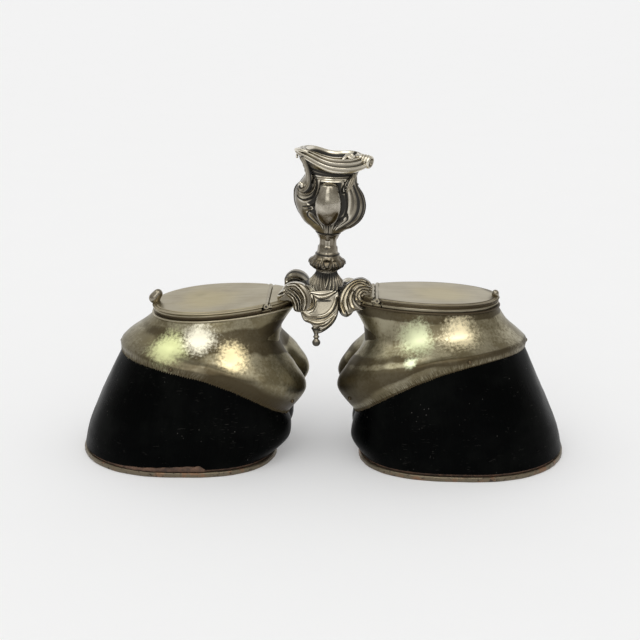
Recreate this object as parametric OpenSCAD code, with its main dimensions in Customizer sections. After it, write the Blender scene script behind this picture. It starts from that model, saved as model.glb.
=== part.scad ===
// Desk inkstand: two mounted hooves with hinged lids, joined by a cast bracket with a candle socket.
// Millimetres, +Z up. The origin is on the table, midway between the hooves, whose toes point along X.
// Each hoof is drawn once, with its toe towards +X, and the left one is its mirror image with its own
// slopes. A list of two values is always [left, right].

/* [Hoof and shoe] */
// Distance from the middle of the stand to each toe
toe_x = 146.4; // [140:0.2:152]
// Distance from the middle of the stand to the back of the left shoe
shoe_heel_left = 27; // [24:0.5:30]
// Distance from the middle of the stand to the back of the right shoe
shoe_heel_right = 22; // [20:0.5:28]
// Half width of the sole at its widest
sole_half_w = 55.6; // [52:0.2:58]
// Distance from the middle of the stand to the widest part of the sole
sole_wide_x = 88; // [84:0.5:92]
// Thickness of the shoe plate
shoe_t = 3; // [2:0.1:4]
// Thickness of the pad between shoe and horn
pad_t = 1.6; // [1:0.1:2.5]
// Thickness of the horn wall
horn_wall = 6; // [5:0.25:8]

/* [Metal mount] */
// Thickness of the mount's sheet metal
mount_t = 1; // [0.8:0.1:1.2]
// Distance from the middle of the stand to the mount's lower edge at the toe
edge_toe_x = 121.4; // [119:0.2:123]
// Height of the left mount's lower edge at the toe
edge_toe_z_left = 61; // [58:0.5:64]
// Height of the right mount's lower edge at the toe
edge_toe_z_right = 63; // [60:0.5:66]
// Half width of the mount at its lower edge
edge_half_w = 46.5; // [44:0.5:48]
// Distance from the middle of the stand to the heel bulbs
bulb_x = 7; // [6:0.25:9]
// Depth of the cleft between the heel bulbs
cleft_depth = 12; // [8:0.5:14]
// Diameter of the pin heads that hold the mount on the horn
pin_head_d = 2.8; // [2:0.1:3.4]

/* [Lids and hinges] */
// Distance from the middle of the stand to the hinge line
hinge_x = 32.6; // [31:0.2:34]
// Height of the left lid's top at the hinge
hinge_z_left = 96.6; // [94:0.2:99]
// Height of the right lid's top at the hinge
hinge_z_right = 99.5; // [97:0.2:102]
// Slope of the left lid down towards the toe, in degrees
lid_tilt_left = 4.4; // [0:0.2:6]
// Slope of the right lid down towards the toe, in degrees
lid_tilt_right = 1.6; // [0:0.2:4]
// Slope of the left lid down towards the front, in degrees
lid_roll_left = 1.4; // [-3:0.1:3]
// Slope of the right lid down towards the front, in degrees
lid_roll_right = -2.5; // [-3:0.1:3]
// Length of the left lid from the hinge line to its tip
lid_len_left = 69.6; // [68:0.2:72]
// Length of the right lid from the hinge line to its tip
lid_len_right = 72.4; // [70:0.2:74]
// Half width of the lids
lid_half_w = 29.5; // [28:0.25:31]
// Thickness of the lid's plate
lid_t = 1.2; // [1:0.1:1.4]
// Number of hinge knuckles on each hinge
knuckle_n = 9; // [5:2:11]
// Outer diameter of the hinge knuckles
knuckle_d = 3; // [2.8:0.1:3.2]
// Diameter of the hinge pins
hinge_pin_d = 1.5; // [1.2:0.1:1.6]

/* [Ink wells] */
// Outer diameter of the glass wells
well_d = 33; // [30:0.5:34]
// Inner diameter of the glass wells
well_bore_d = 27.6; // [24:0.2:28]
// Height of the glass wells
well_h = 38.2; // [34:0.2:39]

/* [Bracket and candle socket] */
// Bore of the candle socket
candle_d = 22.4; // [21:0.2:23]
// Depth of the candle socket
candle_depth = 24; // [20:0.5:26]
// Lean of the candle holder to the right, in degrees
stem_lean = 2.5; // [0:0.5:4]
// Height of the bracket's top, where the candle holder starts
stem_z = 104; // [102:0.5:106]
// Radius of the bracket's corner scrolls
scroll_r = 9; // [8:0.25:10]
// Greatest radius of the lobed socket rim
rim_r = 22.6; // [21:0.2:24]

/* [Hidden] */
$fn = 64;

LEFT = 0;
RIGHT = 1;
segments = 48;

shoe_heel_x = [shoe_heel_left, shoe_heel_right];
edge_toe_z = [edge_toe_z_left, edge_toe_z_right];
hinge_z = [hinge_z_left, hinge_z_right];
tilt = [lid_tilt_left, lid_tilt_right];
roll = [lid_roll_left, lid_roll_right];
lid_len = [lid_len_left, lid_len_right];
horn_z = shoe_t + pad_t;

// Places on the lid's own axis, measured from the hinge line towards the toe
lid_wide = 33.4;
plate_end = -17.6;
lid_edge_x = 1.9;
plate_edge_x = -2.6;
// Levels below the lid's top
axis_drop = knuckle_d / 2;
band_drop = 3.4;
rest_drop = 4.7;
rim_drop = 6;
lid_gap = 0.1;
deck_t = 1.2;
hinge_clearance = 0.04;
knuckle_gap = 0.12;
hinge_half = 20.4;

// Colours
plate_silver = [0.66, 0.62, 0.53];
worn_plate = [0.45, 0.36, 0.27];
horn_black = [0.06, 0.06, 0.06];
cast_silver = [0.48, 0.45, 0.39];
wood_brown = [0.45, 0.32, 0.2];
leather_brown = [0.33, 0.22, 0.14];
glass_clear = [0.75, 0.85, 0.85, 0.4];
dark_iron = [0.3, 0.3, 0.3];

// A ring is a closed outline round the hoof, given by where it meets the toe and the heel, where it
// is widest and how wide, how square its toe and heel are, its cleft's depth and width, its heights
// at the toe and the heel, how late it falls between them, its side slope and its rise at the sides.
TOE = 0;
HEEL = 1;
WIDE = 2;
HALF_W = 3;
TOE_N = 4;
HEEL_N = 5;
CLEFT = 6;
CLEFT_W = 7;
TOE_Z = 8;
HEEL_Z = 9;
FALL = 10;
SLOPE = 11;
RISE = 12;

function ring_point(r, a) =
    let (
        front = cos(a) >= 0,
        n = front ? r[TOE_N] : r[HEEL_N],
        reach = front ? r[TOE] - r[WIDE] : r[WIDE] - r[HEEL],
        k = pow(pow(abs(cos(a)), n) + pow(abs(sin(a)), n), -1 / n),
        x = r[WIDE] + reach * k * cos(a),
        y = r[HALF_W] * k * sin(a),
        notch = front ? 0 : r[CLEFT] * exp(-pow(y / r[CLEFT_W], 2)),
        along = max(0, (r[TOE] - x) / (r[TOE] - r[HEEL])),
        z = r[TOE_Z] + (r[HEEL_Z] - r[TOE_Z]) * pow(along, r[FALL])
            + r[SLOPE] * y + r[RISE] * pow(y / r[HALF_W], 2)
    )
    [x + notch, y, z];

function ring_points(r) = [for (j = [0 : segments - 1]) ring_point(r, 360 * j / segments)];

// The same ring drawn in by d and lowered by drop
function inset(r, d, drop = 0) = [
    r[TOE] - d, r[HEEL] + d, r[WIDE], r[HALF_W] - d, r[TOE_N], r[HEEL_N], r[CLEFT], r[CLEFT_W],
    r[TOE_Z] - drop, r[HEEL_Z] - drop, r[FALL], r[SLOPE], r[RISE]
];

// A smooth path through a list of rings, read at u from 0 to its last place
function between(a, b, c, d, t) =
    0.5 * (2 * b + (c - a) * t + (2 * a - 5 * b + 4 * c - d) * t * t
        + (3 * b - a - 3 * c + d) * t * t * t);
function ring_at(rings, u) =
    let (last = len(rings) - 1, i = min(floor(u), last - 1))
    between(rings[max(i - 1, 0)], rings[i], rings[i + 1], rings[min(i + 2, last)], u - i);

// Faces between neighbouring rings, each of n points
function skin_faces(count, n, wrap) = [
    for (i = [0 : count - (wrap ? 1 : 2)], j = [0 : n - 1])
        let (
            k = (i + 1) % count,
            a = i * n + j, b = k * n + j, c = k * n + (j + 1) % n, d = i * n + (j + 1) % n
        )
        each [[a, b, c], [a, c, d]]
];

// A tube-like body whose last ring joins its first
module ring_loop(rings) {
    n = len(rings[0]);
    points = [for (ring = rings) each ring];
    polyhedron(points, skin_faces(len(rings), n, true), convexity = 8);
}

function ring_centre(ring) = [
    for (k = [0 : 2]) (min([for (p = ring) p[k]]) + max([for (p = ring) p[k]])) / 2
];

// A body closed by a flat cap on its first and last rings
module ring_solid(rings) {
    n = len(rings[0]);
    count = len(rings);
    points = concat(
        [for (ring = rings) each ring],
        [ring_centre(rings[0]), ring_centre(rings[count - 1])]
    );
    first = count * n;
    caps = [
        for (j = [0 : n - 1])
            each [
                [first, j, (j + 1) % n],
                [first + 1, (count - 1) * n + (j + 1) % n, (count - 1) * n + j]
            ]
    ];
    polyhedron(points, concat(skin_faces(count, n, false), caps), convexity = 8);
}

module on_side(side) {
    if (side == LEFT) mirror([1, 0, 0]) children();
    else children();
}

// The lid's own frame: its origin is on the hinge line at the lid's top
module in_lid_frame(side) {
    on_side(side)
        translate([hinge_x, 0, hinge_z[side]])
            rotate([0, tilt[side], 0])
                rotate([roll[side], 0, 0]) children();
}

function lid_slope(side) = tan(roll[side]) / cos(tilt[side]);
// Height of the plane that lies drop below the lid's top, at x
function lid_plane_z(side, x, drop) =
    hinge_z[side] - tan(tilt[side]) * (x - hinge_x) - drop / (cos(tilt[side]) * cos(roll[side]));

// The outline of lid and plate in the lid's frame, let out by d, at the level z
function top_ring(side, d, z) = [
    for (j = [0 : segments - 1])
        let (p = ring_point(inset(top_outline(side), -d), 360 * j / segments)) [p[0], p[1], z]
];
function top_outline(side) = [
    lid_len[side], plate_end, lid_wide, lid_half_w, 2.05, 1.85, 0, 9, 0, 0, 1, 0, 0
];

// The neck's outline drawn in by d, in the plane that lies drop below the lid's top
function neck_top(side, d = 0, drop = rim_drop) =
    let (toe = hinge_x + lid_len[side] - 0.7 - d, heel = hinge_x + plate_end + 0.5 + d)
    [
        toe, heel, hinge_x + lid_wide, lid_half_w - 0.4 - d, 2.05, 1.85, 0, 9,
        lid_plane_z(side, toe, drop), lid_plane_z(side, heel, drop), 1, lid_slope(side), 0
    ];
// Rings of the metal mount from its lower edge to the neck
function mount_rings(side) =
    let (edge_z = edge_toe_z[side], slope = lid_slope(side), rise = [1.5, 5][side])
    [
        [edge_toe_x, bulb_x + 12, 78, edge_half_w, 2.1, 2.6, 3, 9,
            edge_z, edge_z - 34, 2.3, slope, rise],
        [edge_toe_x + 0.6, bulb_x, 76, edge_half_w + 1.3, 2.1, 2.6, cleft_depth, 9,
            edge_z + 4.5, 43, 2, slope, rise],
        [edge_toe_x - 2.9, bulb_x + 6, 72, edge_half_w - 3, 2.05, 2.5, 9, 10,
            edge_z + 10.6, 58, 1.6, slope, rise / 2],
        [edge_toe_x - 12.6, bulb_x + 17, 68, lid_half_w + 4.5, 2, 2.2, 2, 12,
            edge_z + 17.8, 75, 1.3, slope, 0],
        neck_top(side)
    ];

// Rings of the horn wall from the sole to the mount's lower edge
function sole_ring(side) = [
    toe_x, shoe_heel_x[side] - 0.5, sole_wide_x, sole_half_w, 2.15, 2.8, 3, 9,
    horn_z, horn_z, 1, 0, 0
];
function horn_rings(side) =
    let (edge = mount_rings(side)[0], slope = lid_slope(side), heel = [19, 17][side])
    [
        inset(sole_ring(side), 0.9),
        [toe_x - 3.2, heel, 87, sole_half_w - 2.6, 2.15, 2.8, 4, 9,
            20, 12, 1.3, slope / 3, 0],
        [toe_x - 13.4, bulb_x + 10.5, 84, sole_half_w - 5.6, 2.12, 2.7, 4, 9,
            42, 21, 1.8, slope / 1.5, edge[RISE] / 2],
        inset(edge, 0.35, 0.4)
    ];

module shoe_plate(side) {
    color(worn_plate)
        on_side(side)
            linear_extrude(shoe_t)
                polygon([for (p = ring_points(sole_ring(side))) [p[0], p[1]]]);
}

module sole_pad(side) {
    color(leather_brown)
        on_side(side)
            translate([0, 0, shoe_t])
                linear_extrude(pad_t)
                    polygon([for (p = ring_points(inset(sole_ring(side), 1.2))) [p[0], p[1]]]);
}

module sole_screws(side) {
    screw_x = [56, 118];
    screw_y = 22;
    head_z = 0.3;
    color(dark_iron)
        on_side(side)
            for (x = screw_x, y = [-screw_y, screw_y])
                translate([x, y, head_z]) {
                    cylinder(h = 1.6, d1 = 6.4, d2 = 3.2);
                    cylinder(h = 15, d = 3.2);
                }
}

module hoof_horn(side) {
    rings = horn_rings(side);
    mount = mount_rings(side);
    tuck = mount_t + 0.55;
    levels = 9;
    inner_levels = 4;
    color(horn_black)
        on_side(side)
            ring_loop(concat(
                [for (i = [0 : levels]) ring_points(ring_at(rings, 3 * i / levels))],
                [ring_points(inset(ring_at(mount, 0), tuck, 0.4))],
                [ring_points(inset(ring_at(mount, 0.45), tuck, 0.4))],
                [ring_points(inset(ring_at(mount, 0.45), horn_wall, 0.4))],
                [for (i = [inner_levels : -1 : 0])
                    ring_points(inset(ring_at(rings, 3 * i / inner_levels), horn_wall))]
            ));
}

module packing_block(side) {
    clear = 0.6;
    base = inset(sole_ring(side), horn_wall + 3 + clear);
    top_z = 48;
    top = [112, 36, 76, 38, 2.1, 2.6, 0, 9, top_z, top_z, 1, 0, 0];
    color(wood_brown)
        on_side(side)
            ring_solid([ring_points(base), ring_points(top)]);
}

module mount_shell(side) {
    rings = mount_rings(side);
    levels = 14;
    inner_levels = 9;
    flange_w = 5;
    flange_drop = rim_drop + mount_t;
    color(plate_silver)
        on_side(side)
            ring_loop(concat(
                [for (i = [0 : levels]) ring_points(ring_at(rings, 4 * i / levels))],
                [ring_points(neck_top(side, flange_w))],
                [ring_points(neck_top(side, flange_w, flange_drop))],
                [for (i = [inner_levels : -1 : 0])
                    ring_points(inset(ring_at(rings, 4 * i / inner_levels), mount_t,
                        i == 0 ? 0 : mount_t * 0.9))]
            ));
}

// Angles of the mount's pins round the hoof, from the toe
pin_angles = [2, 78, 150, 210, 282];
module mount_pins(side) {
    head_r = pin_head_d / 2;
    shank_r = 0.6;
    shank_h = 4.5;
    color(cast_silver)
        on_side(side)
            for (a = pin_angles) {
                ring = ring_at(mount_rings(side), 0.55);
                p = ring_point(ring, a);
                q = ring_point(inset(ring, 1), a);
                heading = atan2(p[1] - q[1], p[0] - q[0]);
                translate(p)
                    rotate([0, 0, heading])
                        rotate([0, 90, 0]) {
                            sphere(r = head_r);
                            translate([0, 0, -shank_h]) cylinder(h = shank_h, r = shank_r);
                        }
            }
}

module neck_rim(side) {
    profile = [[-1.6, -rim_drop], [0.4, -rim_drop], [1, -5.6], [1, -5.1], [0.5, -rest_drop],
        [-1.6, -rest_drop]];
    color(plate_silver)
        in_lid_frame(side)
            ring_loop([for (p = profile) top_ring(side, p[0], p[1])]);
}

module well_deck(side) {
    color(plate_silver)
        in_lid_frame(side)
            translate([0, 0, -rim_drop])
                difference() {
                    linear_extrude(deck_t)
                        polygon([for (p = top_ring(side, -1.7, 0)) [p[0], p[1]]]);
                    translate([lid_wide, 0, -1]) cylinder(h = deck_t + 2, d = well_d + 0.6);
                }
}

module glass_well(side) {
    top = -2.8;
    seat = -rim_drop + deck_t;
    bottom = top - well_h;
    r = well_d / 2;
    bore = well_bore_d / 2;
    flange = r + 3;
    color(glass_clear)
        in_lid_frame(side)
            translate([lid_wide, 0, 0])
                rotate_extrude()
                    polygon([
                        [0, bottom], [r - 2, bottom], [r, bottom + 2], [r, seat],
                        [flange, seat], [flange, top - 0.6], [flange - 0.6, top],
                        [bore + 0.6, top], [bore, top - 0.8], [bore, bottom + 6],
                        [bore - 2.5, bottom + 3], [0, bottom + 3]
                    ]);
}

// The moulded edge of lid and plate, as steps of [let out, level]
edge_steps = [[0, -1.2], [0.35, -1], [0.35, -0.75], [-0.5, -0.55], [-1.8, -0.45], [-2.3, 0]];

// Keeps what lies beyond x = from, towards the toe or towards the heel
module keep_toe_side(from) {
    intersection() {
        children();
        translate([from, -60, -30]) cube([120, 120, 60]);
    }
}
module keep_heel_side(from) {
    intersection() {
        children();
        translate([from - 120, -60, -30]) cube([120, 120, 60]);
    }
}

module hinge_plate(side) {
    skirt = [[-2.4, -lid_t], [-2.4, -rest_drop], [-1.2, -rest_drop], [-1.2, -band_drop],
        [0, -band_drop]];
    color(plate_silver)
        in_lid_frame(side)
            keep_heel_side(plate_edge_x)
                ring_solid([for (p = concat(skirt, edge_steps)) top_ring(side, p[0], p[1])]);
}

module lid(side) {
    color(plate_silver)
        in_lid_frame(side)
            keep_toe_side(lid_edge_x)
                ring_solid([for (p = edge_steps) top_ring(side, p[0], p[1])]);
}

module lid_bezel(side) {
    profile = [[-2.4, -rest_drop + lid_gap], [-1.2, -rest_drop + lid_gap], [-1.2, -band_drop],
        [0, -band_drop], [0, -lid_t], [-2.4, -lid_t]];
    color(plate_silver)
        in_lid_frame(side)
            keep_toe_side(lid_edge_x)
                ring_loop([for (p = profile) top_ring(side, p[0], p[1])]);
}

// Every second knuckle, starting from the given one, each with its soldered tab
module knuckles(side, start, tab_to, bore) {
    pitch = 2 * hinge_half / knuckle_n;
    length = pitch - knuckle_gap;
    tab_t = 0.9;
    in_lid_frame(side)
        for (i = [start : 2 : knuckle_n - 1])
            translate([0, -hinge_half + pitch * i + knuckle_gap / 2, -axis_drop])
                difference() {
                    union() {
                        rotate([-90, 0, 0]) cylinder(h = length, d = knuckle_d);
                        translate([min(0, tab_to), 0, axis_drop - lid_t - tab_t])
                            cube([abs(tab_to), length, tab_t]);
                    }
                    translate([0, -1, 0]) rotate([-90, 0, 0]) cylinder(h = length + 2, d = bore);
                }
}

module plate_knuckles(side) {
    color(plate_silver) knuckles(side, 0, -3.4, hinge_pin_d);
}

module lid_knuckles(side) {
    color(plate_silver) knuckles(side, 1, 6.5, hinge_pin_d + 2 * hinge_clearance);
}

module hinge_pin(side) {
    color(dark_iron)
        in_lid_frame(side)
            translate([0, -hinge_half, -axis_drop])
                rotate([-90, 0, 0]) cylinder(h = 2 * hinge_half, d = hinge_pin_d);
}

module thumbpiece(side) {
    tip = lid_len[side];
    color(cast_silver)
        in_lid_frame(side)
            if (side == LEFT) {
                translate([tip - 0.8, 0, -1.2]) cylinder(h = 3.4, d1 = 5, d2 = 3.4);
                translate([tip - 1.6, -1.4, 3.4]) sphere(r = 2.4);
                translate([tip + 0.6, 1.6, 4.4]) sphere(r = 2.6);
            } else {
                translate([tip - 1.6, 0, -1.2]) cylinder(h = 2, d = 3.6);
                translate([tip - 1.6, 0, 2]) sphere(r = 2.6);
            }
}

// The candle holder's own frame: its axis leans to the right
stem_x = 2;
module in_stem_frame() {
    translate([stem_x, 0, stem_z]) rotate([0, stem_lean, 0]) children();
}
rod_d = 4;
rod_hole_d = 4.2;
module rod_hole() {
    in_stem_frame() translate([0, 0, -30]) cylinder(h = 66, d = rod_hole_d);
}

// Outline of the bracket's body at a level, as a rounded square
function saddle_ring(half_x, half_y, n, z) = [
    for (j = [0 : segments - 1])
        let (
            a = 360 * j / segments,
            k = pow(pow(abs(cos(a)), n) + pow(abs(sin(a)), n), -1 / n)
        )
        [half_x * k * cos(a), half_y * k * sin(a), z]
];
saddle_bottom = 87;
module bracket_saddle() {
    levels = [[9, 9, 2, saddle_bottom], [13, 14, 2.4, 91], [15.4, 17, 2.8, 96], [15, 16.4, 3, 99.5],
        [12.4, 13, 2.4, 101.6], [10.6, 10.6, 2, 103], [9.6, 9.6, 2, 105]];
    color(cast_silver)
        difference() {
            ring_solid([for (l = levels) saddle_ring(l[0], l[1], l[2], l[3])]);
            rod_hole();
        }
}

// Half outline of the hanging shield, from its tip up
shield_half = [[0, 0], [3.4, 3.6], [7, 4.8], [10.4, 9], [8.8, 13.5], [10.6, 19], [8.6, 24.2],
    [4, 22.6], [0, 24.4]];
module shield_2d() {
    polygon(concat(
        shield_half,
        [for (i = [len(shield_half) - 2 : -1 : 1]) [-shield_half[i][0], shield_half[i][1]]]
    ));
}
shield_lean = 18;
module shield() {
    translate([-1.4, -21.4, 80])
        rotate([90 - shield_lean, 0, 0])
            translate([0, 0, -3.4])
                difference() {
                    linear_extrude(3.4) shield_2d();
                    translate([0, 4.2, 2.2]) linear_extrude(2) scale(0.66) shield_2d();
                }
}
module shield_front() {
    color(cast_silver) shield();
}
module shield_back() {
    color(cast_silver) mirror([0, 1, 0]) shield();
}

module pendant() {
    translate([-3, -21, 73.4]) {
        sphere(r = 2.3);
        cylinder(h = 4, d = 1.8);
        translate([0, 0, 3.6]) sphere(r = 1.5);
        translate([0, 0, 4]) cylinder(h = 5, d1 = 2, d2 = 4.6);
    }
}
module pendant_front() {
    color(cast_silver) pendant();
}
module pendant_back() {
    color(cast_silver) mirror([0, 1, 0]) pendant();
}

// A band that winds in as a spiral, from radius r at the start angle
function spiral_point(r, width, start, turn) =
    let (k = r * (1 - 0.45 * abs(turn) / 360) - width)
    [k * cos(start + turn), k * sin(start + turn)];
module spiral_band(r, band_w, start, turns) {
    steps = 40;
    sweep = 360 * turns;
    polygon(concat(
        [for (i = [0 : steps]) spiral_point(r, 0, start, sweep * i / steps)],
        [for (i = [steps : -1 : 0])
            spiral_point(r, band_w * (1 - 0.35 * i / steps), start, sweep * i / steps)]
    ));
}
// One corner scroll, standing on edge beside the plate's back corner
scroll_y = 14;
module corner_scroll(x, z, r, start, turns) {
    thick = 4.4;
    hub = min(3.6, r * 0.34);
    translate([x, -scroll_y, z])
        rotate([0, 0, 30])
            rotate([90, 0, 0])
                translate([0, 0, -thick / 2]) {
                    linear_extrude(thick) spiral_band(r, 3, start, turns);
                    cylinder(h = thick + 0.6, r = hub);
                    translate([-r * 0.85, -1.5, 0.7]) cube([r * 0.85, 3, 3]);
                }
}
// Front and back scrolls of one side, joined by the strap that lies on the hinge plate. The casting
// is notched round the plate and the neck. The back scroll is the share back of the front one's size.
module scroll_pair(side, x, z, r, start, turns, back) {
    strap_x = 22;
    strap_t = 3;
    sunk = 0.25;
    notch_h = 20;
    difference() {
        union() {
            corner_scroll(x, z, r, start, turns);
            mirror([0, 1, 0]) corner_scroll(x, z - r * (1 - back) / 2, r * back, start, turns);
            translate([10, -12, lid_plane_z(side, strap_x, 0.2)]) cube([strap_x - 10, 24, strap_t]);
        }
        on_side(side)
            in_lid_frame(side)
                translate([0, 0, -sunk - notch_h])
                    linear_extrude(notch_h)
                        polygon([for (p = top_ring(side, 0.35, 0)) [p[0], p[1]]]);
    }
}
module scroll_left() {
    color(cast_silver) mirror([1, 0, 0]) scroll_pair(LEFT, 17.5, 100.8, scroll_r - 1, 235, -1.1, 1.1);
}
module scroll_right() {
    color(cast_silver) scroll_pair(RIGHT, 20.3, 100.4, scroll_r + 4, 200, -1.2, 0.55);
}

// The turned parts of the candle holder, bottom to top, as outlines of [radius, level]
module turned(outline, bore_d) {
    in_stem_frame()
        rotate_extrude()
            polygon(concat(
                [[bore_d / 2, outline[0][1]]],
                outline,
                [[bore_d / 2, outline[len(outline) - 1][1]]]
            ));
}
module foot_skirt() {
    color(cast_silver)
        turned([[11, 1], [13.6, 1.2], [12.6, 3], [9.4, 4.6], [7, 6.4], [6.3, 8]], rod_hole_d);
}
module knop() {
    color(cast_silver)
        turned([[6.3, 8], [6.6, 9], [9.6, 10.6], [10.7, 13], [10.2, 15.6], [8, 17.4], [6.6, 18]],
            rod_hole_d);
}
module stem() {
    color(cast_silver)
        turned([[6.6, 18], [7.4, 19], [6.2, 21], [5.7, 24.4], [6, 28], [7.4, 30.4]], rod_hole_d);
}

cup_base = 30.4;
cup_top = 70;
liner_wall = 1;
module socket_cup() {
    bore = candle_d / 2 + liner_wall;
    floor_z = cup_top + 4 - candle_depth - liner_wall;
    color(cast_silver)
        in_stem_frame()
            rotate_extrude()
                polygon([
                    [rod_hole_d / 2, cup_base], [7.4, cup_base], [8.4, 33.4], [12.2, 38.4], [15.4, 43.6],
                    [17.2, 49], [17.6, 54], [16.6, 60], [14.8, 65.6], [15.2, cup_top],
                    [bore, cup_top], [bore, floor_z], [rod_hole_d / 2, floor_z]
                ]);
}

// Scrolls and bosses applied to the cup: two side scrolls, a front and a back boss
module cup_scrolls() {
    boss_r = 6.4;
    wall_inside = candle_d / 2 + liner_wall + 1.2;
    color(cast_silver)
        in_stem_frame()
            difference() {
                union() {
                    for (place = [[0, 50], [180, 53]])
                        rotate([0, 0, place[0]])
                            translate([13.6, 0, place[1]])
                                rotate([90, 0, 0])
                                    translate([0, 0, -3.2])
                                        linear_extrude(6.4) spiral_band(8.6, 3.4, -100, 0.75);
                    for (a = [-90, 90])
                        rotate([0, 0, a])
                            translate([13, 0, 46])
                                rotate([0, -6, 0])
                                    rotate_extrude()
                                        polygon([[0, -8], [3, -7], [5.6, -3], [boss_r, 1], [5.8, 5],
                                            [3.6, 10], [1.6, 14], [0, 15.5]]);
                }
                translate([0, 0, cup_base]) cylinder(h = cup_top, r = wall_inside);
            }
}

// The rim spreads into a high lobe on the left and a wider, lower one on the right, and dips at the
// front and the back
function rim_radius(a) = rim_r * (0.93 + 0.08 * cos(2 * a) + 0.04 * cos(a));
function rim_ring(share, z, wave) = [
    for (j = [0 : segments - 1])
        let (
            a = 360 * j / segments,
            inner = candle_d / 2 + liner_wall,
            r = inner + (rim_radius(a) - inner) * share
        )
        [r * cos(a), r * sin(a), z + wave * (cos(2 * a) - 0.45 * cos(a) - 0.6)]
];
module socket_rim() {
    profile = [[-0.1, 0, 0], [0.28, 0, 0], [0.78, 2.4, 1.3], [1, 5.2, 2.2], [0.97, 7.8, 2.6],
        [0.82, 8.6, 2.6], [0.5, 6.8, 1.4], [0.12, 5.2, 0], [-0.1, 4.8, 0]];
    color(cast_silver)
        in_stem_frame()
            difference() {
                ring_loop([for (p = profile) rim_ring(p[0], cup_top + p[1], p[2])]);
                cylinder(h = cup_top + 20, r = candle_d / 2 + liner_wall);
            }
}

module socket_liner() {
    top = cup_top + 4;
    bore = candle_d / 2;
    outer = bore + liner_wall;
    bottom = top - candle_depth - liner_wall;
    color(plate_silver)
        in_stem_frame()
            difference() {
                translate([0, 0, bottom]) cylinder(h = top - bottom, r = outer);
                translate([0, 0, bottom + liner_wall]) cylinder(h = candle_depth + 1, r = bore);
            }
}

rod_bottom = -21;
rod_top = 42;
module tie_rod() {
    color(dark_iron)
        in_stem_frame()
            translate([0, 0, rod_bottom]) cylinder(h = rod_top - rod_bottom, d = rod_d);
}

module tie_nut() {
    nut_h = 3;
    nut_d = 8.5;
    color(dark_iron)
        in_stem_frame()
            difference() {
                translate([0, 0, saddle_bottom - stem_z - nut_h - 0.3])
                    cylinder(h = nut_h, d = nut_d, $fn = 6);
                translate([0, 0, rod_bottom - 2]) cylinder(h = 12, d = rod_d);
            }
}

shoe_plate(LEFT);  // shoe_plate_left
shoe_plate(RIGHT);  // shoe_plate_right
sole_pad(LEFT);  // sole_pad_left
sole_pad(RIGHT);  // sole_pad_right
sole_screws(LEFT);  // sole_screws_left
sole_screws(RIGHT);  // sole_screws_right
hoof_horn(LEFT);  // hoof_horn_left
hoof_horn(RIGHT);  // hoof_horn_right
packing_block(LEFT);  // packing_block_left
packing_block(RIGHT);  // packing_block_right
mount_shell(LEFT);  // mount_shell_left
mount_shell(RIGHT);  // mount_shell_right
mount_pins(LEFT);  // mount_pins_left
mount_pins(RIGHT);  // mount_pins_right
neck_rim(LEFT);  // neck_rim_left
neck_rim(RIGHT);  // neck_rim_right
well_deck(LEFT);  // well_deck_left
well_deck(RIGHT);  // well_deck_right
glass_well(LEFT);  // glass_well_left
glass_well(RIGHT);  // glass_well_right
hinge_plate(LEFT);  // hinge_plate_left
hinge_plate(RIGHT);  // hinge_plate_right
plate_knuckles(LEFT);  // plate_knuckles_left
plate_knuckles(RIGHT);  // plate_knuckles_right
hinge_pin(LEFT);  // hinge_pin_left
hinge_pin(RIGHT);  // hinge_pin_right
lid(LEFT);  // lid_left
lid(RIGHT);  // lid_right
lid_bezel(LEFT);  // lid_bezel_left
lid_bezel(RIGHT);  // lid_bezel_right
lid_knuckles(LEFT);  // lid_knuckles_left
lid_knuckles(RIGHT);  // lid_knuckles_right
thumbpiece(LEFT);  // thumbpiece_left
thumbpiece(RIGHT);  // thumbpiece_right
bracket_saddle();
shield_front();
shield_back();
pendant_front();
pendant_back();
scroll_left();
scroll_right();
foot_skirt();
knop();
stem();
socket_cup();
cup_scrolls();
socket_rim();
socket_liner();
tie_rod();
tie_nut();
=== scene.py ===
"""A desk inkstand of two mounted hooves: its fine forms, finishes, light and camera.

All lengths in the classes are millimetres in the part's own frame: the origin is on the table
midway between the hooves, +X runs to the right toe and +Z up. Meshes are written in metres.
"""

import logging
import math
from collections.abc import Callable, Sequence
from dataclasses import astuple, dataclass, field, replace
from enum import Enum

import bpy
import numpy as np
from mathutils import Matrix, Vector


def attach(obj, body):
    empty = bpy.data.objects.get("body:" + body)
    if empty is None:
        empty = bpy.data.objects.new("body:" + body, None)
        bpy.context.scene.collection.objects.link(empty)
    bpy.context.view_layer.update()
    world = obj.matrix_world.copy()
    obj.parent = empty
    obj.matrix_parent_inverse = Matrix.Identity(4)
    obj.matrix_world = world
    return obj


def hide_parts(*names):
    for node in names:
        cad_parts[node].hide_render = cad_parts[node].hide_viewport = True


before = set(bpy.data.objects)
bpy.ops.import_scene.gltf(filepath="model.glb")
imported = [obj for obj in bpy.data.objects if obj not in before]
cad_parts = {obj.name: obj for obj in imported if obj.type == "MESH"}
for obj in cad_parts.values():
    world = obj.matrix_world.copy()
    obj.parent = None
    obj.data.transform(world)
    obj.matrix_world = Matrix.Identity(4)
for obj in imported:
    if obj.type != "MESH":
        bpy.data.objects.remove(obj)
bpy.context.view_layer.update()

MM = 0.001
TAU = 2.0 * math.pi
log = logging.getLogger("inkstand")

Array = np.ndarray
Pair = tuple[float, float]
Point = tuple[float, float, float]
Colour = Point
Row = Sequence[float]
Rows = Sequence[Row]
Pairs = Sequence[Pair]
Move = Callable[[Array], Array]
Relief = Callable[[Array, Array], Array]
Material, Object, Socket = bpy.types.Material, bpy.types.Object, bpy.types.NodeSocket


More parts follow.
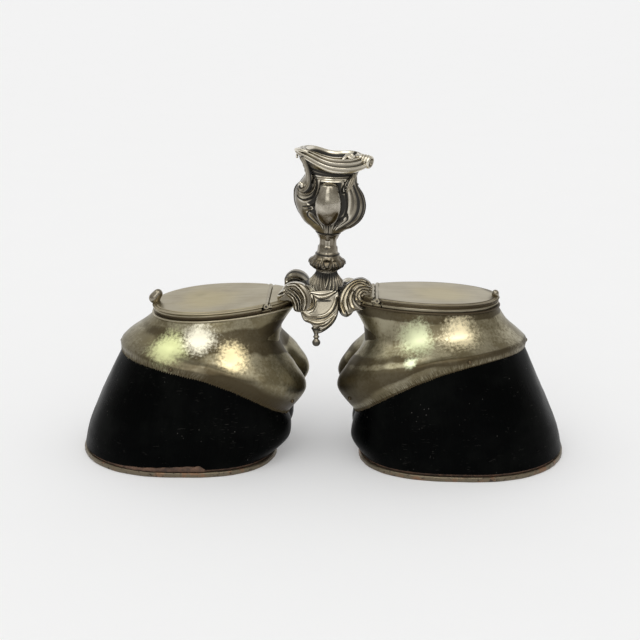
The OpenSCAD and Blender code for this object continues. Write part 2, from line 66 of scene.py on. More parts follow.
class Side(Enum):
    """The two hooves: the value is the name used in node names and the sign of their X."""

    LEFT = ("left", -1.0)
    RIGHT = ("right", 1.0)

    @property
    def label(self) -> str:
        """Returns: the side's name as it is written in node and piece names."""
        return self.value[0]

    @property
    def sign(self) -> float:
        """Returns: -1 for the left hoof and 1 for the right one."""
        return self.value[1]


# Curves, waviness and relief


def smooth_path(keys: Array, u: Array, closed: bool = False) -> Array:
    """Reads a smooth curve through evenly numbered keys.

    Args:
        keys: the rows that the curve passes through, shape (K, D).
        u: places along the curve, from 0 to K - 1, or to K when it is closed.
        closed: whether the last key joins the first.

    Returns:
        The rows at those places, shape (len(u), D).
    """
    keys = np.asarray(keys, float)
    last = len(keys) if closed else len(keys) - 1
    i = np.clip(np.floor(u).astype(int), 0, last - 1)
    if closed:
        a, b, c, d = (keys[(i + k) % len(keys)] for k in (-1, 0, 1, 2))
    else:
        a, b = keys[np.maximum(i - 1, 0)], keys[i]
        c, d = keys[i + 1], keys[np.minimum(i + 2, last)]
    t = (u - i)[:, None]
    return 0.5 * (
        2 * b + (c - a) * t + (2 * a - 5 * b + 4 * c - d) * t**2 + (3 * b - a - 3 * c + d) * t**3
    )


def resample(keys: Rows, count: int) -> Array:
    """Args: keys; count. Returns: count points of a smooth open curve through the keys."""
    keys = np.asarray(keys, float)
    return smooth_path(keys, np.linspace(0, len(keys) - 1, count))


def unit(vectors: Array) -> Array:
    """Args: vectors: rows of any dimension. Returns: the same rows at length one."""
    length = np.linalg.norm(vectors, axis=-1, keepdims=True)
    return vectors / np.maximum(length, 1e-9)


def ripple(points: Array, length: float, seed: int) -> Array:
    """Smooth seeded waviness.

    Args:
        points: places in millimetres, shape (..., 3).
        length: the usual distance between two crests.
        seed: picks the pattern.

    Returns:
        One value a point, mostly between -1 and 1.
    """
    rng = np.random.default_rng(seed)
    total = np.zeros(points.shape[:-1])
    for _ in range(8):
        way = unit(rng.normal(size=3))
        pitch = TAU / length * rng.uniform(0.6, 1.5)
        total += np.sin(points @ way * pitch + rng.uniform(0, TAU))
    return total / 3.2


def outward(points: Array, centre: Row, up: float = 0.0) -> Array:
    """Args: points; centre; up: the share of Z to keep. Returns: the ways from centre to points."""
    return unit((points - np.asarray(centre, float)) * np.array([1, 1, up]))


def climb(rings: Array) -> Array:
    """Args: rings, shape (R, C, 3). Returns: the way up the surface from the first ring to each."""
    steps = np.linalg.norm(np.diff(rings, axis=0), axis=-1).cumsum(0)
    return np.concatenate([np.zeros((1, rings.shape[1])), steps])


def mound(points: Array, centre: Row, radius: float) -> Array:
    """Args: points; centre; radius: of its fade. Returns: a soft bump's height, 1 in its middle."""
    gap = np.linalg.norm(points - np.asarray(centre, float), axis=-1)
    return np.exp(-((gap / radius) ** 2))


@dataclass(frozen=True)
class Stroke:
    """A raised or sunk line on a surface; its keys are two coordinates in turn."""

    keys: tuple[float, ...]
    width: float
    height: float
    taper: float = 0.35

    def on(self, u: Array, v: Array) -> Array:
        """Measures the line's height over a surface.

        Args:
            u: first coordinate of each place.
            v: second coordinate of each place.

        Returns:
            The height to add at each place.
        """
        line = resample(np.reshape(self.keys, (-1, 2)), 4 * len(self.keys))
        best = np.full(u.shape, np.inf)
        where = np.zeros(u.shape)
        for k in range(len(line) - 1):
            (ax, ay), (bx, by) = line[k], line[k + 1]
            dx, dy = bx - ax, by - ay
            t = np.clip(((u - ax) * dx + (v - ay) * dy) / (dx * dx + dy * dy + 1e-9), 0, 1)
            gap = (u - ax - t * dx) ** 2 + (v - ay - t * dy) ** 2
            near = gap < best
            best = np.where(near, gap, best)
            where = np.where(near, (k + t) / (len(line) - 1), where)
        fade = 1 - (1 - self.taper) * np.abs(2 * where - 1) ** 3
        return self.height * fade * np.exp(-((np.sqrt(best) / (self.width * fade)) ** 2.4))


def drawn(strokes: Sequence[Stroke], u: Array, v: Array) -> Array:
    """Adds up several strokes, the strongest ridge and the deepest groove at each place.

    Args:
        strokes: the lines to draw.
        u: first coordinate of each place.
        v: second coordinate of each place.

    Returns:
        The height to add at each place.
    """
    ridge, groove = np.zeros(u.shape), np.zeros(u.shape)
    for stroke in strokes:
        height = stroke.on(u, v)
        ridge, groove = np.maximum(ridge, height), np.minimum(groove, height)
    return ridge + groove


# Surfaces


def show(name: str, data: bpy.types.ID) -> Object:
    """Args: name; data: a mesh, lamp or camera. Returns: the object that puts it in the scene."""
    obj = bpy.data.objects.new(name, data)
    bpy.context.scene.collection.objects.link(obj)
    return obj


@dataclass
class Surface:
    """A closed surface under construction, with points in millimetres."""

    points: Array
    quads: Array
    tris: Array = field(default_factory=lambda: np.zeros((0, 3), int))
    marks: dict[str, Array] = field(default_factory=dict)

    @staticmethod
    def _bands(rows: int, cols: int, wrap: bool) -> Array:
        """Faces between neighbouring rings.

        Args:
            rows, cols: the number of rings, and of points in each.
            wrap: whether the last ring joins the first.

        Returns:
            Four point numbers a face.
        """
        i, j = np.meshgrid(np.arange(rows if wrap else rows - 1), np.arange(cols), indexing="ij")
        up, on = (i + 1) % rows, (j + 1) % cols
        faces = [i * cols + j, up * cols + j, up * cols + on, i * cols + on]
        return np.stack(faces, -1).reshape(-1, 4)

    @classmethod
    def loop(cls, rings: Array) -> "Surface":
        """Args: rings, shape (R, C, 3). Returns: the body whose last ring joins its first."""
        rows, cols = rings.shape[:2]
        return cls(rings.reshape(-1, 3).copy(), cls._bands(rows, cols, True))

    @classmethod
    def capped(cls, rings: Array) -> "Surface":
        """A body closed at its first and last rings by fans.

        Args:
            rings: closed rings, shape (R, C, 3).

        Returns:
            The closed surface.
        """
        rows, cols = rings.shape[:2]
        ends = np.stack([rings[0].mean(0), rings[-1].mean(0)])
        j = np.arange(cols)
        first, last = rows * cols, rows * cols + 1
        top = (rows - 1) * cols
        fans = np.concatenate(
            [
                np.stack([np.full(cols, first), j, (j + 1) % cols], 1),
                np.stack([np.full(cols, last), top + (j + 1) % cols, top + j], 1),
            ]
        )
        return cls(
            np.concatenate([rings.reshape(-1, 3), ends]), cls._bands(rows, cols, False), fans,
        )

    @classmethod
    def joined(cls, parts: Sequence["Surface"]) -> "Surface":
        """Several closed surfaces as one mesh.

        Args:
            parts: the surfaces.

        Returns:
            One surface that holds them all.
        """
        starts = np.cumsum([0] + [len(p.points) for p in parts[:-1]])
        return cls(
            np.concatenate([p.points for p in parts]),
            np.concatenate([p.quads + s for p, s in zip(parts, starts)]),
            np.concatenate([p.tris + s for p, s in zip(parts, starts)])
        )

    def placed(self, move: Move) -> "Surface":
        """Args: move: takes points and returns their new places. Returns: the moved surface."""
        return Surface(move(self.points), self.quads, self.tris, dict(self.marks))

    def triangles(self) -> Array:
        """Returns: all faces as triangles, three point numbers each."""
        return np.concatenate([self.quads[:, [0, 1, 2]], self.quads[:, [0, 2, 3]], self.tris])

    def turn_outward(self) -> None:
        """Flips every face if the surface is inside out."""
        a, b, c = (self.points[self.triangles()[:, k]] for k in range(3))
        if np.einsum("ij,ij->i", a, np.cross(b, c)).sum() < 0:
            self.quads, self.tris = self.quads[:, ::-1].copy(), self.tris[:, ::-1].copy()

    def normals(self) -> Array:
        """Returns: the outward direction at each point."""
        tri = self.triangles()
        a, b, c = (self.points[tri[:, k]] for k in range(3))
        face = np.cross(b - a, c - a)
        total = np.zeros_like(self.points)
        for k in range(3):
            for axis in range(3):
                total[:, axis] += np.bincount(tri[:, k], face[:, axis], len(total))
        return unit(total)

    def mark_hollows(self, rounds: int = 24) -> None:
        """Marks each point with how far it lies below its surroundings, in millimetres.

        Args:
            rounds: how often the surroundings are averaged; more sees wider hollows.
        """
        normals = self.normals()
        tri = self.triangles()
        edges = np.concatenate([tri[:, [0, 1]], tri[:, [1, 2]], tri[:, [2, 0]]])
        count = np.bincount(edges[:, 0], minlength=len(self.points)).astype(float)[:, None]
        even = self.points.copy()
        for _ in range(rounds):
            near = np.stack(
                [np.bincount(edges[:, 0], even[edges[:, 1], k], len(even)) for k in range(3)], 1
            )
            even += 0.6 * (near / np.maximum(count, 1) - even)
        self.marks["hollow"] = ((even - self.points) * normals).sum(1)

    def build(self, name: str, material: Material, sharp: float | None = None) -> Object:
        """Makes the Blender object.

        Args:
            name: the piece's name.
            material: its finish.
            sharp: edges sharper than this many degrees stay sharp; None smooths them all.

        Returns:
            The object, at the origin.
        """
        self.turn_outward()
        mesh = bpy.data.meshes.new(name)
        mesh.vertices.add(len(self.points))
        mesh.vertices.foreach_set("co", (self.points * MM).astype(np.float32).ravel())
        corners = np.concatenate([self.quads.ravel(), self.tris.ravel()]).astype(np.int32)
        sizes = np.concatenate([np.full(len(self.quads), 4), np.full(len(self.tris), 3)])
        starts = np.concatenate([[0], np.cumsum(sizes)[:-1]]).astype(np.int32)
        mesh.loops.add(len(corners))
        mesh.loops.foreach_set("vertex_index", corners)
        mesh.polygons.add(len(sizes))
        mesh.polygons.foreach_set("loop_start", starts)
        mesh.update(calc_edges=True)
        mesh.validate()
        mesh.shade_smooth()
        if sharp is not None:
            mesh.set_sharp_from_angle(angle=math.radians(sharp))
        for mark, values in self.marks.items():
            attribute = mesh.attributes.new(mark, "FLOAT", "POINT")
            attribute.data.foreach_set("value", values.astype(np.float32))
        mesh.materials.append(material)
        return show(name, mesh)


def strap(
    path: Rows, half_w: Row, depth: Row, facing: Row, ridges: int = 3, crest: float = 0.3,
    count: int = 96,
) -> Surface:
    """A cast band with raised lines along it and rounded ends.

    Args:
        path: points of the band's middle line.
        half_w: half widths at evenly spaced places along it.
        depth: thicknesses at evenly spaced places along it.
        facing: the way its ridged face looks.
        ridges: the number of raised lines.
        crest: their height as a share of the depth.
        count: how many sections to make.

    Returns:
        The closed band.
    """
    line = resample(path, count)
    wide = resample(np.reshape(half_w, (-1, 1)), count)
    deep = resample(np.reshape(depth, (-1, 1)), count)
    ahead = unit(np.gradient(line, axis=0))
    side = unit(np.cross(ahead, np.asarray(facing, float)))
    face = unit(np.cross(side, ahead))
    ends = np.minimum(np.arange(count), np.arange(count)[::-1]) / (0.05 * count)
    round_off = np.sqrt(1 - (1 - np.clip(ends, 0.02, 1)) ** 2)[:, None]
    s = np.linspace(-1, 1, 10 * ridges + 7)
    dome = np.sqrt(np.clip(1 - s**2, 0, 1))
    top = 0.45 * dome + crest * 0.5 * (1 + np.cos(TAU * s * ridges / 2 + np.pi * (ridges + 1))) * (
        1 - s**8
    )
    under = np.linspace(1, -1, 7)[1:-1]
    section_s = np.concatenate([s, under])
    section_h = np.concatenate([top, -0.5 * np.sqrt(1 - under**2)])
    rings = (
        line[:, None, :]
        + side[:, None, :] * (wide * round_off * section_s)[:, :, None]
        + face[:, None, :] * (deep * round_off * section_h)[:, :, None]
    )
    return Surface.capped(rings)


def blob(balls: Rows) -> Surface:
    """Args: balls: centre and radius of each. Returns: a rounded lump that blends them."""
    rows, cols = 28, 40
    balls_array = np.asarray(balls, float)
    middle = balls_array[:, :3].mean(0)
    tilt = np.linspace(0.04, math.pi - 0.04, rows)[:, None]
    turn = np.linspace(0, TAU, cols, endpoint=False)[None]
    way = np.stack(
        [
            np.sin(tilt) * np.cos(turn), np.sin(tilt) * np.sin(turn),
            np.cos(tilt) * np.ones_like(turn),
        ],
        -1,
    )
    low = np.zeros((rows, cols))
    high = np.full((rows, cols), 4 * float(balls_array[:, 3].max()) + 20)
    for _ in range(34):
        mid = (low + high) / 2
        place = middle + way * mid[..., None]
        level = sum(
            np.exp(2.2 * (1 - ((place - b[:3]) ** 2).sum(-1) / b[3] ** 2)) for b in balls_array
        )
        inside = level > 1
        low, high = np.where(inside, mid, low), np.where(inside, high, mid)
    return Surface.capped(middle + way * low[..., None])


# Frames


def in_plane(origin: Row, lean: float) -> Move:
    """Moves points from a leaning plane: +X, up the plane, and out of it to the front.

    Args:
        origin: where the plane's frame starts.
        lean: how far it leans back, in degrees.

    Returns:
        A function from its points to the part's frame.
    """
    s, c = math.sin(math.radians(lean)), math.cos(math.radians(lean))
    axes = np.array([[1, 0, 0], [0, s, c], [0, -c, s]], float)
    start = np.asarray(origin, float)
    return lambda points: start + np.asarray(points, float) @ axes


def to_back(points: Array) -> Array:
    """Args: points. Returns: the points mirrored from the front to the back."""
    return np.asarray(points, float) * np.array([1, -1, 1])


# Shader nodes


def operator(name: str, reflected: bool = False) -> Callable[["Value", "Value | float"], "Value"]:
    """Args: name: of the maths; reflected: with the other term first. Returns: the method."""

    def work(self: "Value", other: "Value | float") -> "Value":
        """Args: other: the second term. Returns: the result."""
        return self._math(name, other, self) if reflected else self._math(name, self, other)

    return work


class Value:
    """A shader socket that can be added, multiplied and so on."""

    def __init__(self, graph: "Graph", socket: Socket) -> None:
        """Args: graph: the material's nodes; socket: the socket that carries the value."""
        self.graph = graph
        self.socket = socket

    def _math(self, operation: str, *terms: "Value | float", clamp: bool = False) -> "Value":
        """Args: operation; terms; clamp: to 0 and 1. Returns: the result."""
        return self.graph.node(
            "ShaderNodeMath", {"operation": operation, "use_clamp": clamp}, *terms,
        )

    __add__, __radd__ = operator("ADD"), operator("ADD", True)
    __sub__, __rsub__ = operator("SUBTRACT"), operator("SUBTRACT", True)
    __mul__, __rmul__ = operator("MULTIPLY"), operator("MULTIPLY", True)
    __truediv__, __rtruediv__ = operator("DIVIDE"), operator("DIVIDE", True)
    __pow__, __rpow__ = operator("POWER"), operator("POWER", True)

    def __neg__(self) -> "Value":
        """Returns: the value with its sign turned."""
        return self * -1.0

    def clamped(self) -> "Value":
        """Returns: the value kept between 0 and 1."""
        return self._math("ADD", self, 0.0, clamp=True)

    def largest(self, other: "Value | float") -> "Value":
        """Args: other: a second value. Returns: the larger of the two."""
        return self._math("MAXIMUM", self, other)

    def ramp(self, low: float, high: float, out_low: float = 0.0, out_high: float = 1.0) -> "Value":
        """Args: low, high: ends of a soft step; out_low, out_high: its levels. Returns: it."""
        return self.graph.node(
            "ShaderNodeMapRange", {"interpolation_type": "SMOOTHSTEP"}, self, low, high, out_low,
            out_high,
        )


class Graph:
    """Builds one material's nodes."""

    def __init__(self, name: str) -> None:
        """Args: name: the material's name."""
        self.material = bpy.data.materials.new(name)
        self.material.use_nodes = True
        self.tree = self.material.node_tree
        self.tree.nodes.clear()
        self.output = self.tree.nodes.new("ShaderNodeOutputMaterial")

    def _feed(self, socket: Socket, term: object) -> None:
        """Args: socket: an input; term: a value, a number, a colour, or None to leave it."""
        if isinstance(term, Value):
            self.tree.links.new(term.socket, socket)
        elif term is not None:
            if isinstance(term, tuple) and len(term) == 3 and socket.type == "RGBA":
                term = (*term, 1.0)
            socket.default_value = term

    def node(
        self, kind: str, settings: dict[str, object] | None = None, *terms: object, **named: object
    ) -> Value:
        """Makes a node.

        Args:
            kind: the node's type.
            settings: its settings, set before its sockets.
            terms: its first inputs, in order; None leaves one as it is.
            named: inputs by name, with underscores for spaces, and "out" for the output's name.

        Returns:
            Its first enabled output, or the one that "out" names.
        """
        made = self.tree.nodes.new(kind)
        for key, value in (settings or {}).items():
            setattr(made, key, value)
        out = named.pop("out", None)
        shown = [s for s in made.inputs if s.enabled]
        for socket, term in zip(shown, terms):
            self._feed(socket, term)
        for key, term in named.items():
            wanted = key.replace("_", " ").lower()
            self._feed(next(s for s in shown if s.name.lower() == wanted), term)
        if out:
            return Value(self, made.outputs[out])
        return Value(self, next(s for s in made.outputs if s.enabled))

    def places(self, scale: float = 1.0, stretch: Colour = (1.0, 1.0, 1.0)) -> Value:
        """Args: scale; stretch: of each axis. Returns: object coordinates in millimetres."""
        here = self.node("ShaderNodeTexCoord", None, out="Object")
        factor = tuple(1000.0 * scale * s for s in stretch)
        return self.node("ShaderNodeVectorMath", {"operation": "MULTIPLY"}, here, factor)

    def mark(self, name: str) -> Value:
        """Args: name: an attribute. Returns: its value at each point."""
        return self.node("ShaderNodeAttribute", {"attribute_name": name}, out="Fac")

    def join(self, x: Value | float, y: Value | float, z: Value | float = 0.0) -> Value:
        """Args: x, y, z: coordinates. Returns: the vector made of them."""
        return self.node("ShaderNodeCombineXYZ", None, x, y, z)

    def noise(self, where: Value, scale: float, detail: float = 3.0, rough: float = 0.55) -> Value:
        """Args: where; scale: fineness; detail: octaves; rough. Returns: cloudy noise round 0.5."""
        return self.node(
            "ShaderNodeTexNoise", {"noise_dimensions": "3D"}, Vector=where, Scale=scale,
            Detail=detail, Roughness=rough, out="Fac",
        )

    def cells(self, where: Value, scale: float) -> Value:
        """Args: where: coordinates; scale: fineness. Returns: the distance to the cell's middle."""
        return self.node("ShaderNodeTexVoronoi", None, Vector=where, Scale=scale, out="Distance")

    def mix(self, share: Value | float, first: Value | Colour, second: Value | Colour) -> Value:
        """Args: share: of the second; first, second: colours. Returns: the mixed colour."""
        return self.node("ShaderNodeMix", {"data_type": "RGBA"}, Factor=share, A=first, B=second)

    def bump(self, height: Value, strength: float, distance: float) -> Value:
        """Args: height: 0 to 1; strength; distance: metres. Returns: the bumped normal."""
        return self.node(
            "ShaderNodeBump", None, Strength=strength, Distance=distance, Height=height
        )

    def finish(self, **sockets: object) -> Material:
        """Args: sockets: the surface shader's inputs by name. Returns: the finished material."""
        shader = self.node("ShaderNodeBsdfPrincipled", None, **sockets)
        self.tree.links.new(shader.socket, self.output.inputs["Surface"])
        return self.material


# Finishes


@dataclass(frozen=True)
class PaintedHighlight:
    """A painted highlight on the mounts: a pale patch of base colour, tinted like thin tarnish,
    that stands for a reflection of the studio's light.
    """

    centre: Point
    radius: float
    tint: Colour


@dataclass(frozen=True)
class MountPlate:
    """Old silver plate on the mounts: brushed downwards, tarnished olive, with pale painted
    highlights.
    """

    name: str = "old silver plate"
    pale: Colour = (0.36, 0.33, 0.235)
    olive: Colour = (0.2, 0.172, 0.105)
    brown: Colour = (0.06, 0.045, 0.024)
    hair_reach: float = 7.0
    # Painted highlights: where each patch lies, the base colour turns pale and tinted.
    painted_highlights: tuple[PaintedHighlight, ...] = (
        PaintedHighlight((-90.0, -35.0, 72.0), 13.0, (0.67, 0.7, 0.39)),
        PaintedHighlight((-70.5, -32.5, 78.3), 10.0, (0.83, 0.8, 0.66)),
        PaintedHighlight((-51.0, -38.0, 69.0), 9.5, (0.97, 0.84, 0.52)),
        PaintedHighlight((-69.0, -47.0, 62.5), 4.0, (0.9, 0.84, 0.62)),
        PaintedHighlight((56.0, -33.0, 79.5), 11.0, (0.6, 0.64, 0.42)),
        PaintedHighlight((80.0, -31.0, 82.0), 11.5, (1.0, 0.9, 0.62)),
        PaintedHighlight((52.5, -44.0, 69.0), 4.0, (0.8, 0.86, 0.62)),
        PaintedHighlight((108.0, -16.0, 72.0), 11.0, (0.5, 0.46, 0.34)),
    )

    def material(self) -> Material:
        """Returns: the plate's material; it reads the marks around, edge and hollow."""
        g = Graph(self.name)
        here, around, edge = g.places(), g.mark("around"), g.mark("edge")
        brushed = g.noise(g.join(around * 1.4, edge * 0.06), 1.0, 4.0, 0.6)
        fine = g.noise(g.join(around * 4.5, edge * 0.16, 3.0), 1.0, 3.0, 0.6)
        cloud = g.noise(here, 0.045, 3.0)
        spots = g.noise(here, 0.6, 4.0, 0.65)
        hollow = g.mark("hollow")
        tarnish = (cloud - 0.5) * 1.4 + (brushed - 0.5) * 0.3 + (spots - 0.5) * 0.9 + 0.5
        colour = g.mix(tarnish.ramp(0.25, 0.75), self.pale, self.olive)
        dirty = (spots.ramp(0.6, 0.75) * 0.5 + hollow.ramp(0.02, 0.16)).clamped()
        colour = g.mix(dirty * 0.8, colour, self.brown)
        ragged = (cloud - 0.5) * 1.0 + (brushed - 0.5) * 0.2 + (spots - 0.5) * 1.6
        # Painted highlights: each patch pales the base colour towards its tint, with a ragged edge.
        for highlight in self.painted_highlights:
            away = g.node(
                "ShaderNodeVectorMath", {"operation": "DISTANCE"}, here, highlight.centre, out="Value"
            )
            share = (away / highlight.radius + ragged).ramp(1.25, 0.35)
            colour = g.mix(share * 0.92, colour, highlight.tint)
        sideways = g.node("ShaderNodeSeparateXYZ", None, here)
        # The lower band is darkened towards brown, mostly on the left hoof: partly tarnish, partly
        # a painted dark reflection of the surroundings that this band faces.
        low = (edge + (cloud - 0.5) * 9.0).ramp(15.5, 7.0) * sideways.ramp(8.0, -8.0, 0.18, 0.94)
        low = low * sideways.ramp(-100.0, -62.0, 0.4, 1.0)
        colour = g.mix(low, colour, self.brown)
        lines = g.noise(g.join(around * 2.2, edge * 0.22, 9.0), 1.0, 2.0, 0.5)
        strokes = lines.ramp(0.4, 0.54) * edge.ramp(self.hair_reach, 0.6)
        colour = g.mix(strokes * 0.8, colour, self.brown)
        rough = 0.36 + (cloud - 0.5) * 0.12 + (fine - 0.5) * 0.16 + dirty * 0.12
        height = fine * 0.18 + brushed * 0.12 - strokes * 1.4 + spots * 0.2
        return g.finish(
            Base_Color=colour, Metallic=1.0, Roughness=rough, Normal=g.bump(height, 0.5, 0.00012),
        )


@dataclass(frozen=True)
class FlatPlate:
    """Silver plate on the flat lids: warm grey with faint stains and rubbed streaks."""

    name: str = "lid plate"
    pale: Colour = (0.46, 0.415, 0.3)
    stain: Colour = (0.31, 0.255, 0.16)
    dark: Colour = (0.09, 0.07, 0.045)
    yellow: Colour = (0.47, 0.39, 0.19)

    def material(self) -> Material:
        """Returns: the lid plate's material; it reads the mark hollow."""
        g = Graph(self.name)
        here = g.places()
        streak = g.noise(g.places(1.0, (0.03, 0.9, 0.9)), 1.0, 4.0, 0.6)
        cloud = g.noise(here, 0.05, 3.0)
        specks = g.noise(here, 1.1, 3.0, 0.7)
        hollow = g.mark("hollow")
        stain = ((cloud - 0.5) * 1.3 + (streak - 0.5) * 0.8 + 0.42).clamped()
        colour = g.mix(stain, self.pale, self.stain)
        mirrored = g.node("ShaderNodeVectorMath", {"operation": "ABSOLUTE"}, here)
        away = g.node(
            "ShaderNodeVectorMath", {"operation": "DISTANCE"}, mirrored, (70.0, 3.0, 96.0),
            out="Value",
        )
        blotch = (away + (cloud - 0.5) * 26.0 + (streak - 0.5) * 10.0).ramp(25.0, 6.0)
        colour = g.mix(blotch * 0.6, colour, self.yellow)
        grime = (hollow.ramp(0.012, 0.1) + specks.ramp(0.68, 0.8) * 0.35).clamped()
        colour = g.mix(grime, colour, self.dark)
        rough = 0.34 + (streak - 0.5) * 0.2 + grime * 0.15
        return g.finish(
            Base_Color=colour, Metallic=1.0, Roughness=rough,
            Normal=g.bump(streak * 0.6 + specks * 0.2, 0.35, 0.0001),
        )


@dataclass(frozen=True)
class Casting:
    """Cast silver: black in its hollows, bright on its ridges."""

    name: str = "cast silver"
    bright: Colour = (0.82, 0.77, 0.66)
    body: Colour = (0.3, 0.27, 0.215)
    stain: Colour = (0.1, 0.08, 0.052)
    black: Colour = (0.018, 0.016, 0.012)

    def material(self) -> Material:
        """Returns: the casting's material; it reads the mark hollow."""
        g = Graph(self.name)
        here, hollow = g.places(), g.mark("hollow")
        pits = g.noise(here, 1.6, 4.0, 0.65)
        cloud = g.noise(here, 0.16, 3.0)
        # The mark hollow blackens the patina in hollows; inside the rim's opening, on the bosses'
        # sunk ground and at the foot's top it also holds painted shade.
        depth = hollow + (pits - 0.5) * 0.035 + (cloud - 0.5) * 0.06
        colour = g.mix(depth.ramp(0.02, -0.14), self.body, self.bright)
        # The mark tarnish is tarnish; on the cup's bosses it grows below their middle as a painted
        # dark reflection.
        tarnish = g.mark("tarnish") * (cloud * 1.6 + pits * 0.8 - 0.3)
        colour = g.mix(tarnish.clamped(), colour, self.stain)
        dark = depth.ramp(0.025, 0.19)
        colour = g.mix(dark, colour, self.black)
        rough = 0.23 + dark * 0.3 + (pits - 0.5) * 0.1 - g.mark("tarnish") * 0.07
        return g.finish(
            Base_Color=colour, Metallic=1.0 - dark * 0.7, Roughness=rough,
            Normal=g.bump(pits, 0.15, 0.0001),
        )


@dataclass(frozen=True)
class PolishedHorn:
    """Black horn: polished over its grain, scratched, with pale specks and a dusty bloom."""

    name: str = "black horn"
    black: Colour = (0.0008, 0.001, 0.001)
    dusty: Colour = (0.004, 0.0045, 0.004)
    chalk: Colour = (0.2, 0.19, 0.17)
    speckled: float = 0.34

    def material(self) -> Material:
        """Returns: the horn's material; it reads the marks around and edge."""
        g = Graph(self.name)
        here, around, edge = g.places(), g.mark("around"), g.mark("edge")
        grain = g.noise(g.join(around * 1.1, edge * 0.05), 1.0, 4.0, 0.6)
        cloud = g.noise(here, 0.05, 4.0)
        scratch = g.noise(g.join(around * 0.16, edge * 3.2, 7.0), 1.0, 2.0, 0.5)
        marks = scratch.ramp(0.66, 0.72) * g.noise(here, 0.09, 2.0).ramp(0.5, 0.62)
        chips = g.cells(here, 0.34).ramp(0.13, 0.07) * g.noise(here, 0.06, 2.0).ramp(0.54, 0.64)
        bloom = (cloud.ramp(0.4, 0.75) * 0.6 + (grain - 0.5) * 0.5).clamped()
        colour = g.mix(bloom, self.black, self.dusty)
        pale = (marks * 0.6 + chips).clamped() * self.speckled
        colour = g.mix(pale, colour, self.chalk)
        rough = 0.27 + bloom * 0.2 + pale * 0.3 + (grain - 0.5) * 0.1
        height = grain * 0.5 + cloud * 0.4 - pale * 0.8
        return g.finish(
            Base_Color=colour, Roughness=rough, Normal=g.bump(height, 0.35, 0.0003),
            Specular_IOR_Level=0.022,
        )


@dataclass(frozen=True)
class WornShoe:
    """Plate on the soles, worn through to copper at the edge."""

    name: str = "worn sole plate"
    grey: Colour = (0.18, 0.15, 0.105)
    copper: Colour = (0.24, 0.145, 0.09)
    dark: Colour = (0.03, 0.022, 0.017)

    def material(self) -> Material:
        """Returns: the sole plate's material."""
        g = Graph(self.name)
        here = g.places()
        patch = g.noise(here, 0.11, 4.0, 0.6)
        spots = g.noise(here, 0.45, 4.0, 0.7)
        scrape = g.noise(g.places(1.0, (0.25, 0.25, 2.6)), 1.0, 3.0)
        colour = g.mix(patch.ramp(0.5, 0.62), self.grey, self.copper)
        dark = (spots.ramp(0.56, 0.66) + scrape.ramp(0.6, 0.72) * 0.5).clamped()
        colour = g.mix(dark, colour, self.dark)
        return g.finish(
            Base_Color=colour, Metallic=0.85 - dark * 0.5,
            Roughness=0.38 + dark * 0.25 + (scrape - 0.5) * 0.2,
            Normal=g.bump(spots * 0.6 + scrape * 0.5, 0.5, 0.0003),
        )


@dataclass(frozen=True)
class Worn:
    """A plain finish with two tones and a grain: leather, wood, iron, pins and other fittings."""

    name: str
    light: Colour
    dark: Colour
    metallic: float = 0.0
    rough: float = 0.5
    scale: float = 0.5
    stretch: Colour = (1.0, 1.0, 1.0)
    relief: float = 0.4

    def material(self) -> Material:
        """Returns: the finish's material."""
        g = Graph(self.name)
        grain = g.noise(g.places(self.scale, self.stretch), 1.0, 5.0, 0.65)
        cloud = g.noise(g.places(), 0.12, 2.0)
        tone = (grain * 0.7 + cloud * 0.5 - 0.1).ramp(0.3, 0.7)
        return g.finish(
            Base_Color=g.mix(tone, self.dark, self.light), Metallic=self.metallic,
            Roughness=self.rough + (grain - 0.5) * 0.25, Normal=g.bump(grain, self.relief, 0.0002),
        )


@dataclass(frozen=True)
class MouldedGlass:
    """Pressed glass of the ink wells, with faint swirls and dried ink inside."""

    name: str = "moulded glass"
    tint: Colour = (0.86, 0.93, 0.91)
    ink: Colour = (0.02, 0.02, 0.05)

    def material(self) -> Material:
        """Returns: the glass material."""
        g = Graph(self.name)
        swirl = g.noise(g.places(1.0, (1.0, 1.0, 0.2)), 0.25, 3.0)
        stain = g.noise(g.places(), 0.18, 4.0).ramp(0.6, 0.72)
        return g.finish(
            Base_Color=g.mix(stain * 0.7, self.tint, self.ink), Roughness=0.04 + stain * 0.3,
            Transmission_Weight=0.85, IOR=1.5, Normal=g.bump(swirl, 0.2, 0.0003),
        )


class Slot(Enum):
    """The record's material slots, with the finish that each one gets."""

    MOUNT = ("mount_plate", MountPlate())
    LID = ("lid_plate", FlatPlate())
    TRIM = ("mount_trim", FlatPlate("trim plate", (0.46, 0.42, 0.32), (0.27, 0.23, 0.15)))
    CASTING = ("cast_silver", Casting())
    HORN = ("horn", PolishedHorn())
    SHOE = ("shoe_plate", WornShoe())
    PAD = ("sole_pad", Worn("sole leather", (0.16, 0.085, 0.05), (0.035, 0.02, 0.013), rough=0.75))
    PINS = (
        "mount_pins", Worn("pin heads", (0.17, 0.13, 0.075), (0.03, 0.022, 0.014), 0.9, 0.4, 0.9),
    )
    HINGE = ("hinge_metal", FlatPlate("hinge metal", (0.44, 0.4, 0.3), (0.28, 0.23, 0.15)))
    LINER = ("liner_metal", Worn("socket liner", (0.2, 0.175, 0.13), (0.05, 0.042, 0.03), 0.9, 0.5))
    WOOD = (
        "packing_wood",
        Worn("packing wood", (0.32, 0.2, 0.1), (0.17, 0.1, 0.05), 0.0, 0.8, 0.5, (0.1, 1.0, 1.0)),
    )
    GLASS = ("well_glass", MouldedGlass())
    IRON = ("iron", Worn("dark iron", (0.14, 0.125, 0.11), (0.05, 0.04, 0.035), 0.8, 0.55))

    @property
    def label(self) -> str:
        """Returns: the slot's name in the record."""
        return self.value[0]

    def material(self) -> Material:
        """Returns: the slot's material, made at its first use."""
        finish = self.value[1]
        return bpy.data.materials.get(finish.name) or finish.material()


